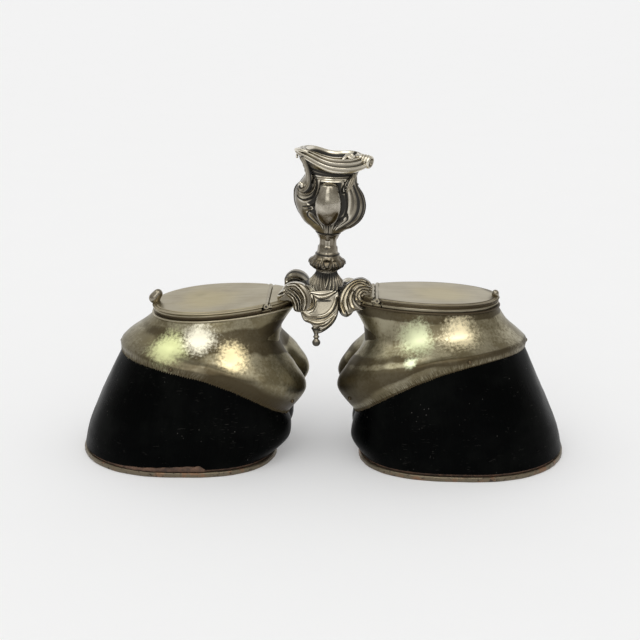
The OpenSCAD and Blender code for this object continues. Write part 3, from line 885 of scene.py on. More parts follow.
def fit(piece: Object, body: str, slot: Slot, *nodes: str) -> Object:
    """Fixes a piece to a body in place of the part's own solids.

    Args:
        piece: the piece.
        body: the body that it moves with.
        slot: its material slot; not used.
        nodes: the solids that it replaces.

    Returns:
        The piece.
    """
    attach(piece, body)
    if nodes:
        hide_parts(*nodes)
    faces = sum(len(p.vertices) - 2 for p in piece.data.polygons)
    log.info("%s rides %s: %d triangles", piece.name, body, faces)
    return piece


def dress(slot: Slot, *nodes: str) -> None:
    """Args: slot: a finish; nodes: the part's own solids that get it and stay."""
    for name in nodes:
        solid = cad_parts[name]
        for place in solid.material_slots:
            place.material = slot.material()
        log.info("%s keeps its solid", name)


# The hoof's outlines


@dataclass(frozen=True)
class Outline:
    """A closed outline round a hoof whose toe points along +X.

    It meets the toe and the heel at these distances and is widest at wide. The n values say how
    square its ends are, and cleft how deep its heel is notched. It falls from toe_z to heel_z, late
    where fall is large, slopes sideways and rises at its sides.
    """

    toe: float
    heel: float
    wide: float
    half_w: float
    toe_n: float
    heel_n: float
    cleft: float = 0.0
    cleft_w: float = 9.0
    toe_z: float = 0.0
    heel_z: float = 0.0
    fall: float = 1.0
    slope: float = 0.0
    rise: float = 0.0

    def inset(self, d: float, drop: float = 0.0) -> "Outline":
        """Args: d: how far it is drawn in; drop: lowered. Returns: the new outline."""
        return replace(
            self, toe=self.toe - d, heel=self.heel + d, half_w=self.half_w - d,
            toe_z=self.toe_z - drop, heel_z=self.heel_z - drop,
        )

    def points(self, angles: Array) -> Array:
        """Args: angles. Returns: its points there, shape (len(angles), 3)."""
        return outline_points(rows_of([self]), angles)[0]

    def angles(self, count: int) -> Array:
        """Args: count. Returns: the angles of even places round it, starting at its heel."""
        return even_angles(rows_of([self])[0], count)[0]


def rows_of(outlines: Sequence[Outline]) -> Array:
    """Args: outlines. Returns: their numbers as rows, in the order of the fields."""
    return np.array([astuple(o) for o in outlines], float)


def outline_points(rows: Array, angles: Array) -> Array:
    """Outlines as points.

    Args:
        rows: outlines as rows of numbers, shape (R, 13).
        angles: places round them, from the toe, in radians.

    Returns:
        Points, shape (R, len(angles), 3).
    """
    toe, heel, wide, half_w, toe_n, heel_n, cleft, cleft_w = rows.T[:8, :, None]
    toe_z, heel_z, fall, slope, rise = rows.T[8:, :, None]
    c, s = np.cos(angles), np.sin(angles)
    front = c >= 0
    n = np.where(front, toe_n, heel_n)
    reach = np.where(front, toe - wide, wide - heel)
    k = (np.abs(c) ** n + np.abs(s) ** n) ** (-1 / n)
    x, y = wide + reach * k * c, half_w * k * s
    notch = np.where(front, 0.0, cleft * np.exp(-((y / cleft_w) ** 2)))
    along = np.clip((toe - x) / (toe - heel), 0, None)
    z = toe_z + (heel_z - toe_z) * along**fall + slope * y + rise * (y / half_w) ** 2
    return np.stack([x + notch, y, z], -1)


def even_angles(row: Array, count: int) -> tuple[Array, Array]:
    """Places at even distances round an outline, starting at its heel.

    Args:
        row: the outline's numbers.
        count: how many places.

    Returns:
        Their angles, and their distances along the outline.
    """
    fine = np.linspace(math.pi, 3 * math.pi, 6001)
    line = outline_points(row[None], fine)[0]
    length = np.concatenate([[0], np.cumsum(np.linalg.norm(np.diff(line, axis=0), axis=1))])
    around = np.linspace(0, length[-1], count, endpoint=False)
    return np.interp(around, length, fine), around


@dataclass(frozen=True)
class LidFrame:
    """The frame of one hoof's lid: its origin is on the hinge line at the lid's top."""

    side: Side
    tilt: float
    roll: float
    hinge_z: float
    length: float
    hinge_x: float = 32.6
    wide: float = 33.4
    plate_end: float = -17.6
    half_w: float = 29.5

    def to_part(self, points: Array) -> Array:
        """Args: points in this frame. Returns: the same points in the part's frame."""
        x, y, z = np.moveaxis(np.asarray(points, float), -1, 0)
        t, r = math.radians(self.tilt), math.radians(self.roll)
        y, z = y * math.cos(r) - z * math.sin(r), y * math.sin(r) + z * math.cos(r)
        x, z = x * math.cos(t) + z * math.sin(t), z * math.cos(t) - x * math.sin(t)
        return np.stack([self.side.sign * (x + self.hinge_x), y, z + self.hinge_z], -1)

    def plane_z(self, x: float, drop: float) -> float:
        """Args: x; drop: below the lid's top. Returns: the plane's height over the axis at x."""
        t, r = math.radians(self.tilt), math.radians(self.roll)
        return self.hinge_z - math.tan(t) * (x - self.hinge_x) - drop / (math.cos(t) * math.cos(r))

    @property
    def slope(self) -> float:
        """Returns: how much the lid's plane rises for each millimetre towards the back."""
        return math.tan(math.radians(self.roll)) / math.cos(math.radians(self.tilt))

    def outline(self, out: float = 0.0) -> Outline:
        """Args: out: how far it is let out. Returns: the outline of lid and plate in this frame."""
        whole = Outline(self.length, self.plate_end, self.wide, self.half_w, 2.05, 1.85)
        return whole.inset(-out)

    def ring(self, out: float, level: float, angles: Array) -> Array:
        """Args: out; level; angles. Returns: the let-out outline at that level in this frame."""
        points = self.outline(out).points(angles)
        points[:, 2] = level
        return points


# The hooves


@dataclass
class Hoof:
    """One hoof: its sole plate, pad and horn, and the metal mount over it."""

    lid: LidFrame
    shoe_heel: float
    horn_heel: float
    edge_toe_z: float
    edge_rise: float
    tooth_depth: float
    chip: float
    toe_x: float = 146.4
    sole_wide_x: float = 88.0
    sole_half_w: float = 55.6
    shoe_t: float = 3.0
    pad_t: float = 1.6
    horn_wall: float = 6.0
    mount_t: float = 1.0
    edge_toe_x: float = 121.4
    edge_half_w: float = 46.5
    bulb_x: float = 7.0
    cleft: float = 12.0
    rim_drop: float = 6.0
    tooth_pitch: float = 1.45
    heel_drop: float = 35.5
    heel_fall: float = 2.35
    waist_in: float = 12.6
    waist_up: float = 17.8
    belly_up: float = 10.6
    fold_deep: float = 0.55
    fold_up: float = 9.5
    fold_x: float = 66.0
    columns: int = 420
    dents: Sequence[tuple[Point, float, float]] = ()

    TOOTH = (0.0, 0.3, 0.65, 1.0, 0.6, 0.25)

    @property
    def side(self) -> Side:
        """Returns: the hoof's side."""
        return self.lid.side

    def place(self, points: Array) -> Array:
        """Args: points with the toe along +X. Returns: the points on the hoof's own side."""
        return points * np.array([self.side.sign, 1, 1])

    def sole(self) -> Outline:
        """Returns: the sole's outline at the horn's foot."""
        level = self.shoe_t + self.pad_t
        heel = self.shoe_heel - 0.5
        return Outline(
            self.toe_x, heel, self.sole_wide_x, self.sole_half_w, 2.15, 2.8, 3, 9, level, level
        )

    def neck(self, d: float = 0.0, drop: float | None = None) -> Outline:
        """Args: d: how far it is drawn in; drop: below the lid. Returns: the neck's outline."""
        drop = self.rim_drop if drop is None else drop
        lid = self.lid
        toe = lid.hinge_x + lid.length - 0.7 - d
        heel = lid.hinge_x + lid.plate_end + 0.5 + d
        ends = (lid.plane_z(toe, drop), lid.plane_z(heel, drop))
        wide, half_w = lid.hinge_x + lid.wide, lid.half_w - 0.4 - d
        return Outline(toe, heel, wide, half_w, 2.05, 1.85, 0, 9, *ends, 1, lid.slope)

    def mount_outlines(self) -> list[Outline]:
        """Returns: the mount's outlines from its lower edge to the neck."""
        x, z, half_w, bulb = self.edge_toe_x, self.edge_toe_z, self.edge_half_w, self.bulb_x
        slope, rise = self.lid.slope, self.edge_rise
        return [
            Outline(
                x + 0.2, bulb + 12, 78, half_w + 0.9, 1.75, 2.6, 3, 9, z, z - self.heel_drop,
                self.heel_fall, slope, rise,
            ),
            Outline(
                x + 0.6, bulb, 76, half_w + 1.3, 1.75, 2.6, self.cleft, 9, z + 4.5, 43, 2, slope,
                rise,
            ),
            Outline(
                x - 2.9, bulb + 6, 72, half_w - 3, 1.85, 2.5, 9, 10, z + self.belly_up, 58, 1.6,
                slope, rise / 2,
            ),
            Outline(
                x - self.waist_in, bulb + 17, 68, self.lid.half_w + 4.2, 2, 2.2, 2, 12,
                z + self.waist_up, 75, 1.3, slope,
            ),
            self.neck(),
        ]

    def horn_outlines(self) -> list[Outline]:
        """Returns: the horn's outlines from the sole to the mount's lower edge."""
        edge = self.mount_outlines()[0]
        slope, half_w = self.lid.slope, self.sole_half_w
        return [
            self.sole().inset(0.9),
            Outline(
                self.toe_x - 5.0, self.horn_heel, 87, half_w - 2.6, 2.15, 2.8, 4, 9, 20, 12, 1.3,
                slope / 3,
            ),
            Outline(
                self.toe_x - 14.6, self.bulb_x + 10.5, 84, half_w - 5.6, 2.12, 2.7, 4, 9, 42, 21,
                1.8, slope / 1.5, edge.rise / 2,
            ),
            edge.inset(0.35, 0.4),
        ]

    def chipped(self, points: Array) -> Array:
        """How far the horn's lower edge is broken away.

        Args:
            points: places with the toe along +X.

        Returns:
            The height of the break at each place, from 0.
        """
        x, y = points[..., 0], points[..., 1]
        grow = np.clip((127 - x) / 48, 0, 1) ** 1.4 * np.clip((x - 66.5) / 3.5, 0, 1)
        front = np.clip((-y - 18) / 12, 0, 1)
        rough = 1 + 0.14 * ripple(points, 5.0, 3)
        return self.chip * grow * front * rough

    def shoe(self) -> Surface:
        """Returns: the sole plate with its worn, rounded edge."""
        angles = self.sole().angles(self.columns)
        steps = [
            (40, 0.3), (4, 0.3), (1.5, 0.02), (0.5, 0.08), (0.08, 0.45), (0, 1.1), (0.06, 1.9),
            (0.02, 2.4), (0.25, 2.85), (0.8, 3.0), (4, 3.0), (40, 3.0),
        ]
        rings = np.stack([self.sole().inset(d).points(angles) for d, _ in steps])
        rings[..., 2] = np.array([z for _, z in steps])[:, None]
        wear = ripple(rings, 16, 5) * 0.12 + ripple(rings, 4, 6) * 0.05
        out = outward(rings, ((self.toe_x + self.shoe_heel) / 2, 0, 0))
        lip = np.array([d < 1 for d, _ in steps], float)[:, None]
        rings -= out * ((0.14 + wear) * lip)[..., None]
        return Surface.capped(self.place(rings))

    def pad(self) -> Surface:
        """Returns: the leather pad, bulging where the horn is broken away."""
        angles = self.sole().angles(self.columns)
        rings = []
        for d, z in [(40, 0), (2.4, 0), (1.9, 0.1), (1.6, 0.5), (1.6, 0.9), (2.2, 1), (40, 1)]:
            ring = self.sole().inset(d).points(angles)
            chip = self.chipped(ring)
            bulge = 1.35 * np.clip(chip / 0.6, 0, 1) * (1.4 < d < 3)
            out = outward(ring, (self.sole_wide_x, 0, 0))
            ring = ring + out * (bulge * (1 + 0.2 * ripple(ring, 6, 8)))[:, None]
            lift = 0.25 * np.clip(chip, 0, 1)
            ring[:, 2] = self.shoe_t + lift + z * (self.pad_t - lift + chip * (d < 20))
            rings.append(ring)
        return Surface.capped(self.place(np.stack(rings)))

    def wall(self, outer: Array, inner: Array, around: Array, up: Array, inside: float) -> Surface:
        """Closes a hollow wall and marks it.

        Args:
            outer: its outside, as rings with the toe along +X.
            inner: its inside.
            around: the mark around, for each place of a ring.
            up: the mark edge on the outside.
            inside: the mark edge on the inside.

        Returns:
            The wall on the hoof's own side.
        """
        surface = Surface.loop(self.place(np.concatenate([outer, inner])))
        surface.marks["around"] = np.tile(around, len(outer) + len(inner))
        surface.marks["edge"] = np.concatenate([up, np.full(inner.shape[:2], inside)]).ravel()
        return surface

    def horn(self) -> Surface:
        """Returns: the hollow horn wall."""
        outlines = rows_of(self.horn_outlines())
        mount = rows_of(self.mount_outlines())
        angles, around = even_angles(outlines[1], 440)
        u = np.linspace(0, 3, 72)
        outer = outline_points(smooth_path(outlines, u), angles)
        lift = self.chipped(outer[0]) * np.clip(1 - (outer[..., 2] - outer[0, :, 2]) / 9, 0, 1)
        outer[..., 2] += lift
        out = outward(outer, (80.0, 0, 0))
        wave = 0.16 * ripple(outer, 30, 11) + 0.03 * ripple(
            outer * np.array([0.4, 0.4, 1.6]), 9, 12,
        )
        held = np.clip(np.minimum(u, 3 - u) / 0.25, 0, 1)[:, None]
        outer += out * (wave * held)[..., None]
        edge_row = Outline(*smooth_path(mount, np.array([0.45]))[0])
        tuck = self.mount_t + 0.55
        first = Outline(*mount[0])
        inner = [
            first.inset(tuck, 0.4), edge_row.inset(tuck, 0.4), edge_row.inset(self.horn_wall, 0.4),
        ]
        wall = smooth_path(outlines, np.linspace(3, 0, 6))
        wall_rows = [Outline(*row).inset(self.horn_wall) for row in wall]
        inside = outline_points(rows_of(inner + wall_rows), angles)
        return self.wall(outer, inside, around, climb(outer), 0.0)

    def mount(self) -> Surface:
        """Returns: the sheet metal mount with its saw-toothed lower edge."""
        outlines = rows_of(self.mount_outlines())
        horn = smooth_path(rows_of(self.horn_outlines()), np.array([2.9, 3.0]))
        _, length = even_angles(outlines[0], 2)
        teeth = round(2 * length[1] / self.tooth_pitch)
        angles, around = even_angles(outlines[0], len(self.TOOTH) * teeth)
        u = np.concatenate([np.linspace(0, 0.3, 11), np.linspace(0.3, 4, 44)[1:]])
        outer = outline_points(smooth_path(outlines, u), angles)
        edge = climb(outer)
        low, high = outline_points(horn, angles)
        rng = np.random.default_rng(17 if self.side is Side.LEFT else 29)
        size = np.repeat(rng.uniform(0.55, 1.25, teeth), len(self.TOOTH))
        saw = np.tile(self.TOOTH, teeth) * size
        towards_heel = np.clip((118 - outer[0, :, 0]) / 60, 0.3, 1)
        deep = self.tooth_depth * saw * (towards_heel if self.side is Side.RIGHT else 1.0)
        fade = np.clip(1 - edge / 2.6, 0, 1) ** 1.5
        outer += unit(low - high) * (deep * fade)[..., None]
        out = outward(outer, (70.0, 0, 40), 0.5)
        held = np.clip(np.minimum(edge / 6, (edge[-1] - edge) / 4), 0, 1)
        wave = 0.2 * ripple(outer, 34, 21) + 0.1 * ripple(outer, 11, 22)
        fold = self.fold_deep * np.exp(-(((edge - self.fold_up) / 1.9) ** 2))
        fold = fold * np.exp(-(((outer[..., 0] - self.fold_x) / 24) ** 4))
        outer += out * ((wave + fold) * held)[..., None]
        for centre, radius, depth in self.dents:
            outer -= out * (mound(outer, centre, radius) * depth * held)[..., None]
        inner = [self.neck(5), self.neck(5, self.rim_drop + self.mount_t)]
        for row, k in zip(smooth_path(outlines, np.linspace(4, 0, 7)), range(6, -1, -1)):
            inner.append(Outline(*row).inset(self.mount_t, self.mount_t * 0.9 if k else 0.0))
        inside = outline_points(rows_of(inner), angles)
        surface = self.wall(outer, inside, around, edge, 20.0)
        surface.mark_hollows()
        return surface

    def pin_places(self) -> Array:
        """Returns: the places of the mount's pins and the ways they point, shape (2, N, 3)."""
        row = smooth_path(rows_of(self.mount_outlines()), np.array([0.55]))
        angles = np.radians([2, 78, 150, 210, 282])
        at = outline_points(row, angles)[0]
        inner = Outline(*row[0]).inset(1).points(angles)
        return np.stack([self.place(at), self.place(outward(at, inner))])

    def build(self) -> None:
        """Builds and dresses the hoof's pieces."""
        label = self.side.label
        for name, slot, surface, sharp in (
            ("shoe_plate", Slot.SHOE, self.shoe(), 50), ("sole_pad", Slot.PAD, self.pad(), 50),
            ("hoof_horn", Slot.HORN, self.horn(), 40),
            ("mount_shell", Slot.MOUNT, self.mount(), 45),
        ):
            piece = surface.build(f"{name}_{label}_fine", slot.material(), sharp)
            fit(piece, "root", slot, f"{name}_{label}")
        pins = studs(f"mount_pins_{label}_fine", self.pin_places(), Slot.PINS.material())
        fit(pins, "root", Slot.PINS, f"mount_pins_{label}")
        dress(Slot.WOOD, f"packing_block_{label}")
        dress(Slot.GLASS, f"glass_well_{label}")
        dress(Slot.IRON, f"sole_screws_{label}")


def studs(name: str, places: Array, material: Material, radius: float = 1.35) -> Object:
    """Round-headed pins, set by Geometry Nodes on points that carry the way they point.

    Args:
        name: the piece's name.
        places: the points and their directions, shape (2, N, 3).
        material: the finish.
        radius: of a head.

    Returns:
        One mesh that holds all the pins.
    """
    mesh = bpy.data.meshes.new(name)
    mesh.from_pydata((places[0] * MM).tolist(), [], [])
    way = mesh.attributes.new("way", "FLOAT_VECTOR", "POINT")
    way.data.foreach_set("vector", places[1].astype(np.float32).ravel())
    tree = NodeTree("pins")
    head = tree.add(
        "GeometryNodeMeshUVSphere",
        {"Segments": 20, "Rings": 12, "Radius": tree.size("Head radius", radius * MM)},
    )
    shank = tree.add(
        "GeometryNodeMeshCylinder",
        {"Vertices": 12, "Radius": tree.size("Shank radius", 0.6 * MM), "Depth": 4.4 * MM},
    )
    low = tree.add(
        "GeometryNodeTransform", {"Geometry": shank["Mesh"], "Translation": (0, 0, -2.3 * MM)}
    )
    flat = tree.add("GeometryNodeTransform", {"Geometry": head["Mesh"], "Scale": (1, 1, 0.8)})
    pin = tree.add("GeometryNodeJoinGeometry", {"Geometry": [flat["Geometry"], low["Geometry"]]})
    named = tree.add("GeometryNodeInputNamedAttribute", {"Name": "way"}, data_type="FLOAT_VECTOR")
    turn = tree.add("FunctionNodeAlignRotationToVector", {"Vector": named["Attribute"]}, axis="Z")
    put = tree.add(
        "GeometryNodeInstanceOnPoints",
        {"Points": tree.start, "Instance": pin["Geometry"], "Rotation": turn["Rotation"]},
    )
    return tree.bake(show(name, mesh), put["Instances"], material)


class NodeTree:
    """Builds one Geometry Nodes tree."""

    def __init__(self, name: str) -> None:
        """Args: name: the tree's name."""
        self.tree = bpy.data.node_groups.new(name, "GeometryNodeTree")
        self.tree.interface.new_socket(
            name="Geometry", in_out="INPUT", socket_type="NodeSocketGeometry"
        )
        self.tree.interface.new_socket(
            name="Geometry", in_out="OUTPUT", socket_type="NodeSocketGeometry"
        )
        self.sizes: dict[str, float] = {}
        self.entry = self.tree.nodes.new("NodeGroupInput")
        self.exit = self.tree.nodes.new("NodeGroupOutput")

    @property
    def start(self) -> Socket:
        """Returns: the geometry that the modifier is given."""
        return self.entry.outputs["Geometry"]

    def size(self, name: str, value: float) -> Socket:
        """Args: name; value: set by the modifier. Returns: the socket of a new named input."""
        self.tree.interface.new_socket(name=name, in_out="INPUT", socket_type="NodeSocketFloat")
        self.sizes[name] = value
        return self.entry.outputs[name]

    def add(
        self, kind: str, inputs: dict[str, object] | None = None, **settings: object
    ) -> dict[str, Socket]:
        """Makes a node.

        Args:
            kind: its type.
            inputs: values, sockets, or lists of sockets for its enabled inputs, by name.
            settings: its settings, set first.

        Returns:
            Its enabled outputs by name.
        """
        made = self.tree.nodes.new(kind)
        for key, value in settings.items():
            setattr(made, key, value)
        for key, value in (inputs or {}).items():
            socket = next(s for s in made.inputs if s.name == key and s.enabled)
            for term in value if isinstance(value, list) else [value]:
                if isinstance(term, Socket):
                    self.tree.links.new(term, socket)
                else:
                    socket.default_value = term
        return {s.name: s for s in made.outputs if s.enabled}

    def bake(self, obj: Object, result: Socket, material: Material) -> Object:
        """Realizes the result as the object's plain mesh.

        Args:
            obj: the object that carries the points.
            result: the instances.
            material: the finish.

        Returns:
            The same object with its new mesh.
        """
        real = self.add("GeometryNodeRealizeInstances", {"Geometry": result})
        smooth = self.add("GeometryNodeSetShadeSmooth", {"Geometry": real["Geometry"]})
        done = self.add(
            "GeometryNodeSetMaterial", {"Geometry": smooth["Geometry"], "Material": material}
        )
        self.tree.links.new(done["Geometry"], self.exit.inputs["Geometry"])
        modifier = obj.modifiers.new("nodes", "NODES")
        modifier.node_group = self.tree
        for item in self.tree.interface.items_tree:
            if item.item_type == "SOCKET" and item.in_out == "INPUT" and item.name in self.sizes:
                modifier[item.identifier] = self.sizes[item.name]
        depsgraph = bpy.context.evaluated_depsgraph_get()
        mesh = bpy.data.meshes.new_from_object(
            obj.evaluated_get(depsgraph), preserve_all_data_layers=True, depsgraph=depsgraph
        )
        obj.modifiers.remove(modifier)
        obj.data = mesh
        if not mesh.materials:
            mesh.materials.append(material)
        return obj


# The flat tops


@dataclass
class Top:
    """One hoof's flat top: the hinged lid and its band, the fixed plate and the neck's moulding."""

    lid: LidFrame
    lid_edge_x: float = 1.9
    plate_edge_x: float = -2.6
    lid_leaf_x: float = 0.5
    plate_leaf_x: float = -1.9
    leaf_t: float = 0.2
    plate_middle_x: float = -9.0
    lid_t: float = 1.2
    rest_drop: float = 4.7
    lid_gap: float = 0.1
    columns: int = 420

    MOULDING = (
        (0.0, -1.2), (0.3, -1.08), (0.42, -0.88), (0.3, -0.66), (-0.05, -0.56), (-0.45, -0.56),
        (-0.62, -0.44), (-0.85, -0.36), (-1.5, -0.34), (-1.72, -0.4), (-1.9, -0.34), (-2.05, -0.12),
        (-2.3, -0.02), (-2.6, 0.0),
    )

    def kept(self, points: Array, to_toe: bool) -> Array:
        """Cuts points off at the hinge.

        Args:
            points: places in the lid's frame.
            to_toe: keeps the lid's side, or else the plate's.

        Returns:
            The places, with those beyond the cut moved onto it.
        """
        points = points.copy()
        if to_toe:
            points[..., 0] = np.maximum(points[..., 0], self.lid_edge_x)
        else:
            points[..., 0] = np.minimum(points[..., 0], self.plate_edge_x)
        return points

    def trimmed(self, ring: Array, to_toe: bool) -> Array:
        """Cuts a ring straight across at the hinge; its top reaches over the knuckles.

        Args:
            ring: a closed ring in the lid's frame, all at one level.
            to_toe: keeps the lid's side, or else the plate's.

        Returns:
            The ring, with the points beyond the cut spread along it.
        """
        edges, leaves = (self.lid_edge_x, self.plate_edge_x), (self.lid_leaf_x, self.plate_leaf_x)
        cut = (leaves if ring[0, 2] > -self.leaf_t else edges)[0 if to_toe else 1]
        beyond = ring[:, 0] < cut if to_toe else ring[:, 0] > cut
        start = int(np.argmax(beyond & ~np.roll(beyond, 1)))
        turned_ring = np.roll(ring, -start, axis=0)
        count = int(beyond.sum())
        ends = []
        for outside, inside in ((0, -1), (count - 1, count)):
            a, b = turned_ring[outside], turned_ring[inside]
            ends.append(a + (b - a) * (cut - a[0]) / (b[0] - a[0]))
        turned_ring[:count] = np.linspace(ends[0], ends[1], count)
        return np.roll(turned_ring, start, axis=0)

    def sheet(self, to_toe: bool) -> Surface:
        """Args: to_toe: the lid, or else the plate. Returns: it with its moulded edge."""
        angles = self.lid.outline().angles(self.columns)
        rings = np.stack(
            [self.trimmed(self.lid.ring(out, z, angles), to_toe) for out, z in self.MOULDING]
        )
        middle = np.array([self.lid.wide if to_toe else self.plate_middle_x, 0, 0])
        shares = np.array([0.97, 0.9, 0.8, 0.66, 0.5, 0.34, 0.18, 0.05])[:, None, None]
        flat = middle + (rings[-1] - middle) * shares
        flat[..., 2] = 0.035 * ripple(flat, 22, 31)
        under = middle + (rings[0] - middle) * shares[::-4]
        under[..., 2] = -self.lid_t
        rings = np.concatenate([under, rings, flat])
        return Surface.capped(self.lid.to_part(rings))

    def band(self, profile: Pairs, to_toe: bool) -> Surface:
        """A moulding under the edge, cut off at the hinge.

        Args:
            profile: its closed section, as steps of (let out, level).
            to_toe: on the lid's side, or else the plate's.

        Returns:
            The closed band.
        """
        angles = self.lid.outline().angles(self.columns)
        x = self.lid.ring(0.0, 0.0, angles)[:, 0]
        keep = x >= self.lid_edge_x if to_toe else x <= self.plate_edge_x
        angles = angles[keep]
        if not to_toe:
            angles = np.sort(np.where(angles > 2 * math.pi, angles - TAU, angles))
        sections = np.stack([self.lid.ring(out, z, angles) for out, z in profile], 1)
        return Surface.capped(self.lid.to_part(self.kept(sections, to_toe)))

    def fillers(self) -> list[Surface]:
        """Returns: the two ends of the plate's band that reach under the hinge's ends."""
        profile = [
            (-2.4, -4.7), (-1.2, -4.7), (-1.2, -3.5), (-0.1, -3.42), (0.0, -3.3), (-0.1, -3.14),
        ]
        profile.append((-2.4, -3.14))
        angles = self.lid.outline().angles(4 * self.columns)
        line = self.lid.ring(0.0, 0.0, angles)
        parts = []
        for sign in (-1, 1):
            near = (line[:, 0] > -2.9) & (line[:, 0] < 1.7) & (line[:, 1] * sign > 0)
            rings = np.stack([self.lid.ring(out, z, angles[near]) for out, z in profile], 1)
            parts.append(Surface.capped(self.lid.to_part(rings)))
        return parts

    def neck_rim(self) -> Surface:
        """Returns: the wire moulding round the neck."""
        roll = np.linspace(-0.5 * math.pi, 0.5 * math.pi, 11)
        profile = [(-1.6, -6.0)] + [
            (0.42 + 0.6 * math.cos(a), -5.36 + 0.62 * math.sin(a)) for a in roll
        ]
        profile += [(0.1, -4.7), (-1.6, -4.7)]
        angles = self.lid.outline().angles(self.columns)
        rings = np.stack([self.lid.ring(out, z, angles) for out, z in profile])
        return Surface.loop(self.lid.to_part(rings))

    def build(self) -> None:
        """Builds and dresses the top's pieces."""
        label = self.lid.side.label
        band = [
            (-2.4, -self.rest_drop + self.lid_gap), (-1.2, -self.rest_drop + self.lid_gap),
            (-1.2, -3.5), (-0.1, -3.42), (0.1, -3.2), (0.0, -2.95), (-0.6, -2.7), (-0.75, -2.1),
            (-0.5, -1.7), (0, -self.lid_t), (-2.4, -self.lid_t),
        ]
        skirt = [(-2.4, -self.rest_drop), (-1.2, -self.rest_drop), *band[2:]]
        for name, slot, surface, body in (
            ("lid", Slot.LID, self.sheet(True), f"lid_{label}"),
            ("lid_bezel", Slot.TRIM, self.band(band, True), f"lid_{label}"),
            (
                "hinge_plate", Slot.LID,
                Surface.joined([self.sheet(False), self.band(skirt, False), *self.fillers()]),
                "root",
            ),
            ("neck_rim", Slot.TRIM, self.neck_rim(), "root"),
        ):
            surface.mark_hollows(8)
            piece = surface.build(f"{name}_{label}_fine", slot.material(), 35)
            fit(piece, body, slot, f"{name}_{label}")
        self.thumbpiece(label)
        dress(Slot.TRIM, f"well_deck_{label}")
        dress(Slot.HINGE, f"plate_knuckles_{label}", f"lid_knuckles_{label}")
        dress(Slot.IRON, f"hinge_pin_{label}")

    def thumbpiece(self, label: str) -> None:
        """Args: label: the side's name. Builds the small knob at the lid's tip."""
        tip = self.lid.length
        if self.lid.side is Side.LEFT:
            balls = [
                (tip - 0.6, -0.4, 2.0, 3.0), (tip - 3.4, 0.2, 4.6, 2.7), (tip - 2.0, 0, 3.2, 2.7),
            ]
            balls += [(tip - 1.8, 0, 0.8, 2.3)]
        else:
            balls = [(tip - 2.2, -0.8, 1.3, 2.1), (tip - 2.2, -0.8, 0.2, 1.7)]
        knob = blob(balls).placed(self.lid.to_part)
        knob.marks["hollow"] = np.full(len(knob.points), -0.03)
        knob.marks["tarnish"] = np.full(len(knob.points), 0.45)
        piece = knob.build(f"thumbpiece_{label}_fine", Slot.CASTING.material())
        fit(piece, f"lid_{label}", Slot.CASTING, f"thumbpiece_{label}")


# The candle holder

HOLDER_X, HOLDER_Z, HOLDER_LEAN = 2.0, 104.0, 2.5


def stem_frame(points: Array) -> Array:
    """Args: points in the candle holder's leaning frame. Returns: them in the part's frame."""
    x, y, z = np.moveaxis(np.asarray(points, float), -1, 0)
    t = math.radians(HOLDER_LEAN)
    leaning_x = HOLDER_X + x * math.cos(t) + z * math.sin(t)
    return np.stack([leaning_x, y, HOLDER_Z + z * math.cos(t) - x * math.sin(t)], -1)


def ring_round(phi: Array, radius: Array, level: Array) -> Array:
    """Args: phi: degrees from the front; radius; level. Returns: points in the holder's frame."""
    a = np.radians(phi - 90)
    return np.stack([radius * np.cos(a), radius * np.sin(a), level], -1)


def seen_from(phi: Array, turn: float, span: float = 360.0) -> Array:
    """Args: phi; turn; span: of a repeat. Returns: the degrees from turn, within half a span."""
    return (phi - turn + span / 2) % span - span / 2


def turned(profile: Pairs, relief: Relief, rows: int, cols: int) -> Surface:
    """A turned part of the candle holder, with relief on its outside.

    Args:
        profile: its outline as (radius, level), from end to end.
        relief: its height at an angle from the front, in degrees, and a level.
        rows: sections along the outline.
        cols: points round it.

    Returns:
        The closed part in the part's frame.
    """
    line = resample(profile, rows)
    phi = np.linspace(-180, 180, cols, endpoint=False)[None] + np.zeros((rows, 1))
    level = line[:, 1:] + np.zeros_like(phi)
    radius = np.maximum(line[:, :1], 0.4) + np.zeros_like(phi)
    ahead = unit(np.gradient(line, axis=0))
    height = relief(phi, level)
    radius = np.maximum(radius + height * np.abs(ahead[:, 1:]), 0.4)
    return Surface.capped(stem_frame(ring_round(phi, radius, level - height * ahead[:, :1])))


def polar(phi: float, rho: float, level: float) -> Point:
    """Args: phi: degrees from the front; rho: from the axis; level. Returns: the point."""
    a = math.radians(phi - 90)
    return (rho * math.cos(a), rho * math.sin(a), level)


def on_holder(phi: float, rho: float, level: float, tilt: float = 0.0) -> Move:
    """A frame on the candle holder's side: x to the right, y outward and z up.

    Args:
        phi: degrees from the front.
        rho: distance from the axis.
        level: height above the foot.
        tilt: how far its top leans outward, in degrees.

    Returns:
        A function from its points to the part's frame.
    """
    a, t = math.radians(phi - 90), math.radians(tilt)
    right = np.array([-math.sin(a), math.cos(a), 0.0])
    outward = np.array([math.cos(a), math.sin(a), 0.0])
    up = np.array([0.0, 0.0, 1.0])
    face = outward * math.cos(t) - up * math.sin(t)
    axes = np.stack([right, face, up * math.cos(t) + outward * math.sin(t)])
    start = np.asarray(polar(phi, rho, level))
    return lambda points: stem_frame(start + points @ axes)


def lathe(profile: Pairs, flat: float = 1.0, rows: int = 40, cols: int = 56) -> Surface:
    """A small turned shape about its own Z axis.

    Args:
        profile: its outline as (radius, level).
        flat: how much it is squeezed along Y.
        rows: sections along the outline.
        cols: points round it.

    Returns:
        The closed shape.
    """
    line = resample(profile, rows)
    a = np.linspace(0, TAU, cols, endpoint=False)
    radius = np.maximum(line[:, :1], 0.02)
    rings = np.stack(
        [radius * np.cos(a), radius * np.sin(a) * flat, line[:, 1:] + np.zeros_like(a)], -1
    )
    return Surface.capped(rings)


